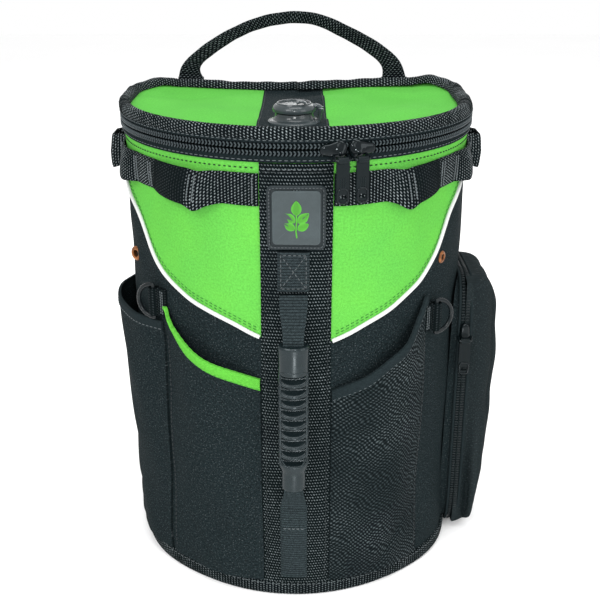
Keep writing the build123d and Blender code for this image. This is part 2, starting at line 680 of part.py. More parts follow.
def make_back():
    with BuildPart() as pad:
        with BuildSketch(Plane.XZ.offset(-BACK_Y - 0.3)):
            with Locations((0, 172)):
                RectangleRounded(150, 212, 26)
        extrude(amount=-9)
        fillet(pad.faces().sort_by(Axis.Y)[-1].edges(), 4)
    save(pad.part, "back_pad")
    for side, sign in (("left", -1), ("right", 1)):
        plane = strap_plane(sign)
        pad_points = [(0.6, 0), (13, 34), (23, 90), (24, 150), (18, 205)]
        with BuildPart() as strap:
            with BuildSketch(plane):
                with BuildLine():
                    Spline(*pad_points)
                    Line(pad_points[-1], (pad_points[-1][0] + 8, pad_points[-1][1]))
                    Spline(*[(x + 8, y) for x, y in reversed(pad_points)])
                    Line((pad_points[0][0] + 8, pad_points[0][1]), pad_points[0])
                make_face()
            extrude(amount=29, both=True)
        save(strap.part, f"shoulder_strap_{side}")
        with BuildPart() as buckle:
            with BuildSketch(plane.offset(-16)):
                with BuildLine():
                    Polyline((18.5, 206), (24.5, 206), (24.5, 234), (18.5, 234), close=True)
                make_face()
            extrude(amount=32)
            for y in (211, 219, 227):
                with BuildSketch(plane.offset(-12.8)):
                    with Locations((21.5, y)):
                        Rectangle(20, 4.2)
                extrude(amount=25.6, mode=Mode.SUBTRACT)
        save(buckle.part, f"ladder_lock_{side}")
        with BuildPart() as webbing:
            with BuildSketch(plane):
                with BuildLine():
                    Polyline((17.6, 235), (19.4, 235), (19.4, 262), (2.6, 306), (2.6, 322), (0.8, 322), (0.8, 305.6),
                             (17.6, 261.6), close=True)
                make_face()
            extrude(amount=12.5, both=True)
        save(webbing.part, f"strap_webbing_{side}")
    with BuildPart() as tab:
        with BuildSketch(Plane.XZ.offset(-32)):
            with BuildLine():
                Polyline((-135.2, 158), (-135.2, 156), (-155.6, 141.6), (-156.6, 143), close=True)
            make_face()
        extrude(amount=-20)
    save(tab.part, "side_tab")


os.makedirs("parts", exist_ok=True)
make_body()
make_piping()
make_spine()
make_zip()
for zip_side in ("left", "right"):
    make_slider(zip_side)
    make_pull(f"pull_{zip_side}", bail_plane(PULL_ANGLES[zip_side]))
    make_gear_band(zip_side)
    make_ring(zip_side)
make_lid()
make_port()
make_front_handle()
make_front_pockets()
make_side_pocket()
make_pouch()
make_eyelets()
make_top_handle()
make_back()
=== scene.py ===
"""Zip-lid gear bag: its looks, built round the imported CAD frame.

The piece builders work in millimetres in the row frame (front is -Y), and meshes are made in metres.
Along the bag's wall, t is the angle from the front; past 90 it runs on round the side and the back.
"""

import math

import bmesh
import bpy
import numpy as np
from mathutils import Matrix, Vector


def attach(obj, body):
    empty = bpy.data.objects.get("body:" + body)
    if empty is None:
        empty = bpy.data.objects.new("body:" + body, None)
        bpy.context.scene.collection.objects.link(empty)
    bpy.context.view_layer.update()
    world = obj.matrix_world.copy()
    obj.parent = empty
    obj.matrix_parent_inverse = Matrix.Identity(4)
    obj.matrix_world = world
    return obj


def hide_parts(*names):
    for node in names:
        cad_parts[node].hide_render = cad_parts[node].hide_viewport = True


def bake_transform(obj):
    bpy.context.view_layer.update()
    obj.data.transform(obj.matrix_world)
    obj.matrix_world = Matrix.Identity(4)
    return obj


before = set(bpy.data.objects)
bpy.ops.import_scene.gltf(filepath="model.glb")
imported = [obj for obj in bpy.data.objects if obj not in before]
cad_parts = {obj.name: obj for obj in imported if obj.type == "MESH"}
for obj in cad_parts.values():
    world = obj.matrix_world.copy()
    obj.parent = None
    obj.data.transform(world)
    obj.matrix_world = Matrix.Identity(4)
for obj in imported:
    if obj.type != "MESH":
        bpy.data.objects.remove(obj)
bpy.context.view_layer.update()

MM = 0.001
PI = math.pi

# The bag's form, as in the CAD
BASE_R, TOP_R, WALL_TOP = 132.5, 136.5, 358.0
CORNER, STRAIGHT = 50.0, 28.0
ZIP_R = 138.2
REF_R = 134.5
SIDE_T = 90 + math.degrees(STRAIGHT / REF_R)
CORNER_T = SIDE_T + math.degrees(CORNER * PI / 2 / REF_R)
BACK_T = CORNER_T + math.degrees((REF_R - CORNER) / REF_R)
ZIP_T = 105.3
SEAM_LEFT = ((0, 219.5), (27, 228.5), (45, 237), (64, 244), (82, 250.5), (97, 261), (107, 274), (114, 287),
             (121, 301), (128, 313), (138, 333))
SEAM_RIGHT = ((0, 216), (27, 224.5), (48, 233.5), (71, 245.5), (92, 260), (104, 276), (112, 295),
              (120, 311), (130, 331), (138, 346))
PORT = (-1.6, -92.0)
GRIP_X, GRIP_Y = -2.0, -151.0
GRIP_LOW, GRIP_HIGH = 112.4, 229.6
CALM_SPOTS = ((-51, 238), (50, 226), (-74, 263), (55, 270))
WALL_FOOT, WALL_THICK = 1.2, 3.6
YOKE_TOP = 357.9
SEAM_LEVEL = 300.0
BAND_LOW, BAND_HIGH = 327.0, 350.0
POCKET_FOOT = 13.4
ZIP_Z, TOOTH = 367.0, 1.75
SLIDER_R = 141.0
LID_R, LID_BACK = 136.0, 76.0


# ---------------------------------------------------------------- shape helpers

def smooth(x, a, b):
    """0 before a, 1 after b, and smooth between them."""
    s = np.clip((np.asarray(x, float) - a) / (b - a), 0, 1)
    return s * s * (3 - 2 * s)


def grid(*parts):
    """Points, or coordinates, from arrays that broadcast together."""
    return np.stack(np.broadcast_arrays(*parts), -1)


def run_along(points):
    """How far along a line each of its points lies."""
    return np.r_[0, np.cumsum(np.linalg.norm(np.diff(points, axis=0), axis=1))]


def at_run(at, run, points):
    """Points of a line at given distances along it."""
    return np.stack([np.interp(at, run, points[:, i]) for i in range(points.shape[1])], -1)


def smooth_line(points, count):
    """Even points on a smooth curve through a few points, and how far along each lies."""
    points = np.asarray(points, float)
    padded = np.vstack([2 * points[0] - points[1], points, 2 * points[-1] - points[-2]])
    fine = []
    for i in range(1, len(padded) - 2):
        p0, p1, p2, p3 = padded[i - 1:i + 3]
        s = np.linspace(0, 1, 24, endpoint=False)[:, None]
        fine.append(0.5 * (2 * p1 + (p2 - p0) * s + (2 * p0 - 5 * p1 + 4 * p2 - p3) * s**2
                           + (3 * p1 - p0 - 3 * p2 + p3) * s**3))
    fine = np.vstack(fine + [points[-1:]])
    run = run_along(fine)
    at = np.linspace(0, run[-1], count)
    return at_run(at, run, fine), at


SEAMS = [smooth_line(points, 200)[0] for points in (SEAM_LEFT, SEAM_RIGHT)]


def wall_radius(z):
    """The wall widens evenly from its foot to its top."""
    return BASE_R + (TOP_R - BASE_R) * np.asarray(z, float) / WALL_TOP


def round_run(t):
    """How far round the wall an angle lies, in millimetres."""
    return t * REF_R * PI / 180


def plan(t, r, out):
    """Plan x, y of points off the wall, and the outward normal there."""
    side = np.where(np.asarray(t) < 0, -1.0, 1.0)
    a = np.abs(t)
    turn = np.radians(np.minimum(a, 90))
    run = np.radians(np.clip(a - 90, 0, SIDE_T - 90)) * REF_R
    phi = np.clip((a - SIDE_T) / (CORNER_T - SIDE_T), 0, 1) * PI / 2
    share = np.clip((a - CORNER_T) / (BACK_T - CORNER_T), 0, 1)
    x = r * np.sin(turn) - CORNER * (1 - np.cos(phi)) - (r - CORNER) * share
    y = -r * np.cos(turn) + run + CORNER * np.sin(phi)
    nx = np.where(a <= 90, np.sin(turn), np.cos(phi))
    ny = np.where(a <= 90, -np.cos(turn), np.sin(phi))
    return side * (x + nx * out), y + ny * out, side * nx, ny


def ripple(t, z):
    """Soft unevenness of the padded cloth, calm near the rims, the hardware and the back seam."""
    t, z = np.broadcast_arrays(np.asarray(t, float), np.asarray(z, float))
    waves = (0.5 * np.sin(0.11 * t + 0.013 * z + 0.6) + 0.35 * np.sin(0.23 * t - 0.031 * z + 2.1)
             + 0.3 * np.sin(0.05 * t + 0.047 * z + 4.0) + 0.2 * np.sin(0.41 * t + 0.06 * z))
    calm = smooth(z, 4, 40) * (1 - smooth(z, 318, 345)) * (1 - smooth(np.abs(t), 130, 160))
    for spot_t, spot_z in CALM_SPOTS:
        far = np.hypot(round_run(t - spot_t), z - spot_z)
        calm = calm * smooth(far, 10, 34)
    return 1.5 * waves * calm


def flare(t, z):
    """The foot of the bag is fuller at its front corners."""
    return 4.6 * np.exp(-((np.abs(t) - 60) / 19.0)**2) * (1 - smooth(z, 5, 95))


def wall(t, z, out=0.0, r=None):
    """Points off the bag's wall at t, z; r gives a constant plan, as the zip and lid have."""
    t, z, out = np.broadcast_arrays(np.asarray(t, float), np.asarray(z, float), np.asarray(out, float))
    soft = ripple(t, z) + flare(t, z) if r is None else 0.0
    radius = wall_radius(z) if r is None else r
    x, y, _, _ = plan(t, radius, out + soft)
    return grid(x, y, z)


def wall_normal(t):
    """Outward direction of the wall at an angle."""
    _, _, nx, ny = plan(np.asarray(t, float), REF_R, 0.0)
    return grid(nx, ny, np.zeros_like(nx))


def t_of(x, z, out=0.0):
    """Angle from the front of a wall point with this x."""
    return np.degrees(np.arcsin(np.clip(x / (wall_radius(z) + out), -1, 1)))


def on_front(x, z, out):
    """Point on the front of the bag, from x and z."""
    return wall(t_of(x, z, out), z, out)


def seam_z(x):
    """Height of the yoke's V seam."""
    left, right = SEAMS
    return np.where(np.asarray(x) < 0, np.interp(np.abs(x), *left.T), np.interp(np.abs(x), *right.T))


def bump(x, crest=0.5, sharp=2.0):
    """0 at both ends of 0..1 and 1 at the crest."""
    x = np.clip(x, 0, 1)
    p, q = sharp * crest, sharp * (1 - crest)
    return (x / crest) ** p * ((1 - x) / (1 - crest)) ** q


def spans(a, b, step):
    """Even steps from a to b."""
    return np.linspace(a, b, max(2, int(round(abs(b - a) / step)) + 1))


# ---------------------------------------------------------------- mesh helpers

def make_object(name, points, faces, material, weave=None, smooth_angle=40):
    """A mesh object from millimetre points, with its cloth coordinates in metres."""
    mesh = bpy.data.meshes.new(name)
    corners = (np.asarray(points, float).reshape(-1, 3) * MM).tolist()
    mesh.from_pydata(corners, [], [tuple(map(int, face)) for face in faces])
    if weave is not None:
        layer = mesh.attributes.new("weave", "FLOAT_VECTOR", "POINT")
        flat = np.zeros((len(mesh.vertices), 3), np.float32)
        flat[:, :2] = np.asarray(weave, float).reshape(-1, 2) * MM
        layer.data.foreach_set("vector", flat.ravel())
    work = bmesh.new()
    work.from_mesh(mesh)
    bmesh.ops.recalc_face_normals(work, faces=work.faces)
    work.to_mesh(mesh)
    work.free()
    mesh.materials.append(material)
    obj = bpy.data.objects.new(name, mesh)
    bpy.context.scene.collection.objects.link(obj)
    finish_shading(obj, smooth_angle)
    return obj


def finish_shading(obj, angle):
    """Smooth shading, with edges sharper than an angle left sharp."""
    obj.data.shade_smooth()
    obj.data.set_sharp_from_angle(angle=math.radians(angle))


def place(obj, body, slot, *nodes):
    """The piece rides on a body and stands for CAD nodes; slot is not used."""
    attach(obj, body)
    if nodes:
        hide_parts(*nodes)
    return obj


def quads(index):
    """Four-sided faces between neighbours in a grid of point numbers."""
    return grid(index[:-1, :-1], index[1:, :-1], index[1:, 1:], index[:-1, 1:]).reshape(-1, 4)


def grid_uv(across, along):
    """Cloth coordinates of a grid: its columns lie across the cloth, and its rows along it."""
    return grid(np.asarray(across)[None, :], np.asarray(along)[:, None])


def ring_mesh(name, rings, material, weave=None, angle=50):
    """A closed form through rings of points, with a flat face at each end."""
    rings = np.array(rings)
    index = np.arange(rings.shape[0] * rings.shape[1]).reshape(rings.shape[:2])
    faces = [tuple(f) for f in quads(np.hstack([index, index[:, :1]]))]
    faces += [tuple(index[0][::-1]), tuple(index[-1])]
    return make_object(name, rings, faces, material, weave, angle)


def sheet(name, outer, inner, uv, material, wrap=False, angle=40):
    """A thick sheet between two grids of points; wrap joins its first column to its last."""
    m, n = outer.shape[:2]
    index = np.arange(m * n).reshape(m, n)
    rows = np.vstack([index, index[:1]]) if wrap else index
    faces = [quads(rows), quads(rows)[:, ::-1] + m * n]
    if wrap:
        for column in (0, n - 1):
            a, b = rows[:-1, column], rows[1:, column]
            faces.append(grid(a, b, b + m * n, a + m * n))
    else:
        rim = np.concatenate([index[:, 0], index[-1, 1:], index[-2::-1, -1], index[0, -2:0:-1]])
        after = np.roll(rim, -1)
        faces.append(grid(rim, after, after + m * n, rim + m * n))
    points = np.concatenate([outer.reshape(-1, 3), inner.reshape(-1, 3)])
    weave = np.concatenate([uv.reshape(-1, 2)] * 2)
    return make_object(name, points, np.concatenate(faces), material, weave, angle)


def wall_sheet(name, t, z, out, thick, material, r=None, wrap=False):
    """A sheet on the wall: t for each column, z and out for each point of the grid."""
    z = np.asarray(z, float)
    if z.ndim == 1:
        z = np.broadcast_to(z, (len(t), len(z)))
    t2 = np.broadcast_to(np.asarray(t, float)[:, None], z.shape)
    out = np.broadcast_to(out(t2, z) if callable(out) else out, z.shape)
    outer = wall(t2, z, out, r)
    inner = wall(t2, z, out - thick, r)
    return sheet(name, outer, inner, grid(round_run(t2), z), material, wrap)


def tube(path, radius, sides=10, up=(0, 0, 1), close=False):
    """Points, faces and cloth coordinates of a tube along a path."""
    path = np.asarray(path, float)
    count = len(path)
    ahead = np.roll(path, -1, 0) - np.roll(path, 1, 0)
    if not close:
        ahead[0], ahead[-1] = path[1] - path[0], path[-1] - path[-2]
    ahead /= np.linalg.norm(ahead, axis=1)[:, None]
    up = np.broadcast_to(np.asarray(up, float), path.shape)
    across = np.cross(ahead, up)
    across /= np.linalg.norm(across, axis=1)[:, None] + 1e-12
    lift = np.cross(across, ahead)
    radius = np.broadcast_to(radius, (count,))
    around = np.linspace(0, 2 * PI, sides, endpoint=False)
    reach = radius[:, None, None]
    points = (path[:, None] + across[:, None] * (np.cos(around)[None, :, None] * reach)
              + lift[:, None] * (np.sin(around)[None, :, None] * reach))
    index = np.arange(count * sides).reshape(count, sides)
    ring = np.hstack([index, index[:, :1]])
    ring = np.vstack([ring, ring[:1]]) if close else ring
    faces = [tuple(f) for f in quads(ring)]
    if not close:
        faces += [tuple(index[0]), tuple(index[-1][::-1])]
    weave = grid_uv(around * np.mean(radius), run_along(path))
    return points.reshape(-1, 3), faces, weave.reshape(-1, 2)


def tube_object(name, path, radius, material, **options):
    """A tube as one object."""
    points, faces, weave = tube(path, radius, **options)
    return make_object(name, points, faces, material, weave, 60)


def lathe(name, profile, material, centre, axis=(0, 0, 1), segments=48):
    """Turned piece: a closed profile of (radius, height) points about an axis."""
    reach, height = np.asarray(profile, float).T
    turn = Vector(axis).normalized().to_track_quat("Z", "Y").to_matrix()
    angle = np.linspace(0, 2 * PI, segments, endpoint=False)[:, None]
    local = grid(reach * np.cos(angle), reach * np.sin(angle), height)
    points = local @ np.array(turn).T + np.asarray(centre, float)
    index = np.arange(local[..., 0].size).reshape(local.shape[:2])
    index = np.vstack([index, index[:1]])
    obj = make_object(name, points, quads(np.hstack([index, index[:, :1]])), material, None, 35)
    clean(obj)
    return obj


def clean(obj):
    """Joins points that lie on each other and drops empty faces."""
    work = bmesh.new()
    work.from_mesh(obj.data)
    bmesh.ops.remove_doubles(work, verts=work.verts, dist=1e-6)
    bmesh.ops.dissolve_degenerate(work, edges=work.edges, dist=1e-7)
    work.to_mesh(obj.data)
    work.free()


def join(name, parts, material, angle=50):
    """One object from several (points, faces, weave) parts."""
    points, faces, weave, start = [], [], [], 0
    for p, f, w in parts:
        points.append(np.asarray(p).reshape(-1, 3))
        weave.append(np.asarray(w).reshape(-1, 2))
        faces += [tuple(int(i) + start for i in face) for face in f]
        start += len(points[-1])
    return make_object(name, np.concatenate(points), faces, material, np.concatenate(weave), angle)


def resample(points, step):
    """Points spaced evenly along a line, and how far along each lies."""
    points = np.asarray(points, float)
    run = run_along(points)
    at = np.arange(0, run[-1], step)
    return at_run(at, run, points), at


# ---------------------------------------------------------------- stitches

STITCHES = {}
STITCH_AT = np.array([0.0, 0.12, 0.5, 0.88, 1.0])
STITCH_RISE = np.array([-0.25, 0.1, 0.3, 0.1, -0.25])
STITCH_THICK = np.array([0.35, 0.85, 1, 0.85, 0.35])
STITCH_LIFT = 0.12


def sew(body, colour, points, normals, length=2.6, gap=1.5, width=0.42):
    """Stitches along a line on cloth, each a small raised dash.

    They are put by for the mesh that holds all of one body's stitches of one colour.
    """
    points = np.asarray(points, float)
    normals = np.broadcast_to(np.asarray(normals, float), points.shape)
    run = run_along(points)
    parts = STITCHES.setdefault((body, colour), [])
    for start in np.arange(0.5 * gap, run[-1] - length, length + gap):
        line = at_run(start + length * STITCH_AT, run, points)
        normal = at_run(start, run, normals)
        rise = STITCH_RISE * width + STITCH_LIFT
        parts.append(tube(line + normal * rise[:, None], width * STITCH_THICK, sides=6, up=normal))


def sew_wall(body, colour, t, z, out, r=None, **options):
    """Stitches along a line on the wall; t or z may be one number."""
    t, z = np.broadcast_arrays(np.asarray(t, float), np.asarray(z, float))
    sew(body, colour, wall(t, z, out, r), wall_normal(t), **options)


def sew_front(colour, x, z, out, **options):
    """Stitches along a line on the bag's front, from x and z; either may be one number."""
    x, z = np.broadcast_arrays(np.asarray(x, float), np.asarray(z, float))
    sew("bag", colour, on_front(x, z, out), wall_normal(t_of(x, z)), **options)


# ---------------------------------------------------------------- materials

class Tree:
    """One material's nodes, with short calls for the nodes used here."""

    def __init__(self, name, **shader):
        self.material = bpy.data.materials.new(name)
        self.material.use_nodes = True
        self.nodes = self.material.node_tree.nodes
        self.links = self.material.node_tree.links
        self.shader = self.nodes["Principled BSDF"]
        for key, value in shader.items():
            self.shader.inputs[key.replace("_", " ")].default_value = value

    def add(self, kind, values=None, **settings):
        node = self.nodes.new("ShaderNode" + kind)
        for key, value in settings.items():
            setattr(node, key, value)
        for key, value in (values or {}).items():
            self.put(node.inputs[key], value)
        return node

    def put(self, socket, value):
        if isinstance(value, bpy.types.NodeSocket):
            self.links.new(value, socket)
        else:
            socket.default_value = value

    def math(self, operation, a, b=0.0, c=0.0):
        return self.add("Math", {0: a, 1: b, 2: c}, operation=operation).outputs[0]

    def mix(self, share, a, b):
        node = self.add("Mix", {0: share, 6: a, 7: b}, data_type="RGBA")
        return node.outputs[2]

    def noise(self, place, scale, detail=2.0, rough=0.5):
        node = self.add("TexNoise", {"Vector": place, "Scale": scale, "Detail": detail, "Roughness": rough})
        return node.outputs["Fac"]

    def ramp(self, value, low, high):
        """Value from 0 at low to 1 at high."""
        node = self.add("MapRange", {"Value": value, "From Min": low, "From Max": high}, clamp=True)
        return node.outputs["Result"]

    def weave(self):
        """Cloth coordinates across and along, in metres, and as one vector."""
        vector = self.add("Attribute", attribute_name="weave").outputs["Vector"]
        parts = self.add("SeparateXYZ", {0: vector})
        return parts.outputs[0], parts.outputs[1], vector

    def object_place(self):
        return self.add("TexCoord").outputs["Object"]

    def wave(self, value, period, phase=0.0):
        """Sine wave over a length, with its period in metres."""
        return self.math("SINE", self.math("MULTIPLY_ADD", value, 2 * PI / period, phase))

    def finish(self, colour, height, strength, distance, rough=None):
        self.put(self.shader.inputs["Base Color"], colour)
        if rough is not None:
            self.put(self.shader.inputs["Roughness"], rough)
        bump = self.add("Bump", {"Strength": strength, "Distance": distance, "Height": height})
        self.links.new(bump.outputs[0], self.shader.inputs["Normal"])
        return self.material


def rgb(r, g, b):
    """An opaque colour."""
    return (r, g, b, 1.0)


def shade(colour, k):
    """A colour made lighter or darker."""
    return rgb(*(channel * k for channel in colour))


def cloth(name, colour, pitch=0.0011, grain=0.35, contrast=0.35, rough=0.8, tint=None, fleck=0.0, rib=0.0,
          fold_shading=0.0):
    """Plain woven cloth: crossing threads, grain, wear, flecks, painted shade in the grooves between ribs,
    and painted fold shading that lightens ridges and darkens hollows.
    """
    tree = Tree(name, Specular_IOR_Level=0.02)
    u, v, place = tree.weave()
    threads = tree.math("MULTIPLY", tree.wave(u, pitch), tree.wave(v, pitch))
    height = tree.math("MULTIPLY_ADD", threads, 0.5, 0.5)
    heather = tree.noise(place, 620.0, 3.0, 0.75)
    patches = tree.noise(place, 22.0, 3.0, 0.55)
    paler = rgb(*tint) if tint else shade(colour, 1.08)
    dark = tree.mix(tree.ramp(patches, 0.3, 0.7), shade(colour, 0.86), paler)
    light = tree.mix(tree.ramp(heather, 0.36, 0.66), shade(colour, 1 - 0.8 * grain),
                     shade(colour, 1 + 1.2 * grain))
    both = tree.mix(0.6, dark, light)
    shaded = tree.mix(tree.math("MULTIPLY", height, contrast), both, shade(colour, 0.45))
    if fleck:
        spots = tree.ramp(tree.noise(place, 900.0, 1.0, 0.6), 0.6, 0.74)
        shaded = tree.mix(spots, shaded, rgb(fleck, fleck * 1.2, fleck * 1.25))
    # Painted shade: the grooves between the ribs are darkened in the colour.
    if rib:
        rib_groove_shade = tree.ramp(tree.wave(v, rib), 0.0, 0.9)
        shaded = tree.mix(tree.math("MULTIPLY", rib_groove_shade, 0.7), shaded, shade(colour, 0.12))
    # Painted fold shading from the mesh's pointiness: hollows of folds are painted darker and their ridges
    # lighter.
    if fold_shading:
        ridges = tree.ramp(tree.add("NewGeometry").outputs["Pointiness"], 0.470, 0.530)
        light = tree.mix(0.35, shaded, rgb(fold_shading, fold_shading * 1.25, fold_shading * 1.3))
        shaded = tree.mix(ridges, tree.mix(0.45, shaded, shade(colour, 0.1)), light)
    rough_value = tree.math("MULTIPLY_ADD", heather, 0.2, rough - 0.1)
    bumps = tree.math("MULTIPLY_ADD", heather, 0.6, tree.math("MULTIPLY", height, -0.8))
    return tree.finish(shaded, bumps, 0.5, 0.0005, rough_value)


def ballistic(name, colour, light):
    """Coarse basket weave with glints on its raised threads."""
    tree = Tree(name, Specular_IOR_Level=0.03)
    u, v, place = tree.weave()
    drift = tree.math("MULTIPLY", tree.noise(place, 60.0, 2.0), 0.009)
    u = tree.math("ADD", u, drift)
    v = tree.math("ADD", v, drift)
    basket = tree.math("MULTIPLY", tree.wave(u, 0.0042), tree.wave(v, 0.0034))
    height = tree.math("MULTIPLY_ADD", basket, 0.5, 0.5)
    patches = tree.ramp(tree.noise(place, 16.0, 3.0), 0.38, 0.68)
    sparkle = tree.math("MULTIPLY_ADD", tree.noise(place, 640.0, 2.0, 0.7), 1.1, height)
    share = tree.math("MULTIPLY_ADD", patches, 0.8, 0.2)
    glint = tree.math("MULTIPLY", tree.ramp(sparkle, 1.15, 1.6), share)
    shaded = tree.mix(glint, tree.mix(height, shade(colour, 0.25), shade(colour, 1.3)), rgb(*light))
    return tree.finish(shaded, height, 0.9, 0.001, tree.math("MULTIPLY_ADD", glint, -0.25, 0.75))


def webbing(name, dark, light, pitch=0.0025, dot=0.0021):
    """Ribbed webbing: ribs across the strap, with painted highlights on the twisted threads that lie in
    rows on them.
    """
    tree = Tree(name, Specular_IOR_Level=0.02)
    u, v, place = tree.weave()
    rib = tree.math("ABSOLUTE", tree.wave(v, 2 * pitch))
    slant = tree.math("MULTIPLY_ADD", v, 2 * PI / pitch * 0.62, tree.math("MULTIPLY", u, 2 * PI / dot))
    dots = tree.math("MULTIPLY_ADD", tree.math("SINE", slant), 0.5, 0.5)
    uneven = tree.noise(place, 420.0, 3.0, 0.7)
    height = tree.math("MULTIPLY", rib, tree.math("MULTIPLY_ADD", dots, 0.5, 0.5))
    # Painted highlight: the raised thread dots are painted towards the light colour, as glints.
    thread_glint = tree.ramp(tree.math("MULTIPLY_ADD", uneven, 0.85, height), 1.08, 1.42)
    patches = tree.ramp(tree.noise(place, 30.0), 0.35, 0.65)
    shaded = tree.mix(thread_glint, rgb(*dark), tree.mix(patches, shade(light, 0.6), rgb(*light)))
    return tree.finish(shaded, height, 0.8, 0.0009, tree.math("MULTIPLY_ADD", thread_glint, -0.2, 0.72))


def air_mesh(name, colour):
    """Spacer mesh with small round holes, on pads."""
    tree = Tree(name, Specular_IOR_Level=0.1)
    place = tree.object_place()
    holes = tree.add("TexVoronoi", {"Vector": place, "Scale": 260.0, "Randomness": 0.5})
    depth = tree.ramp(holes.outputs["Distance"], 0.12, 0.42)
    shaded = tree.mix(depth, shade(colour, 0.5), shade(colour, 1.15))
    return tree.finish(shaded, depth, 0.8, 0.0008, 0.85)


def plastic(name, colour, rough=0.35, grain=0.25, gloss=0.2, **shader):
    """Moulded plastic, rubber or painted metal, with a fine grain, scuffs and rubbed edges."""
    tree = Tree(name, Specular_IOR_Level=gloss, **shader)
    place = tree.object_place()
    fine = tree.noise(place, 1400.0, 2.0)
    scuffs = tree.ramp(tree.noise(place, 90.0, 4.0, 0.65), 0.45, 0.75)
    edges = tree.ramp(tree.add("NewGeometry").outputs["Pointiness"], 0.52, 0.62)
    worn = tree.mix(tree.math("MULTIPLY", scuffs, 0.35), rgb(*colour), shade(colour, 1.7))
    shaded = tree.mix(tree.math("MULTIPLY", edges, 0.4), worn, shade(colour, 2.4))
    return tree.finish(shaded, fine, grain, 0.0002, tree.math("MULTIPLY_ADD", scuffs, 0.18, rough))


def brass(name):
    """Aged copper-coloured brass, darker in patches of tarnish."""
    tree = Tree(name, Metallic=0.9)
    place = tree.object_place()
    tarnish = tree.ramp(tree.noise(place, 260.0, 4.0, 0.6), 0.4, 0.7)
    shaded = tree.mix(tarnish, rgb(0.34, 0.135, 0.050), rgb(0.11, 0.042, 0.020))
    return tree.finish(shaded, tarnish, 0.15, 0.0002, tree.math("MULTIPLY_ADD", tarnish, 0.25, 0.3))


def thread(name, colour):
    """Twisted sewing thread."""
    tree = Tree(name, Specular_IOR_Level=0.2)
    u, v, _ = tree.weave()
    twist = tree.wave(tree.math("ADD", u, v), 0.0009)
    height = tree.math("MULTIPLY_ADD", twist, 0.5, 0.5)
    return tree.finish(tree.mix(height, shade(colour, 0.6), shade(colour, 1.2)), height, 0.5, 0.0003, 0.6)


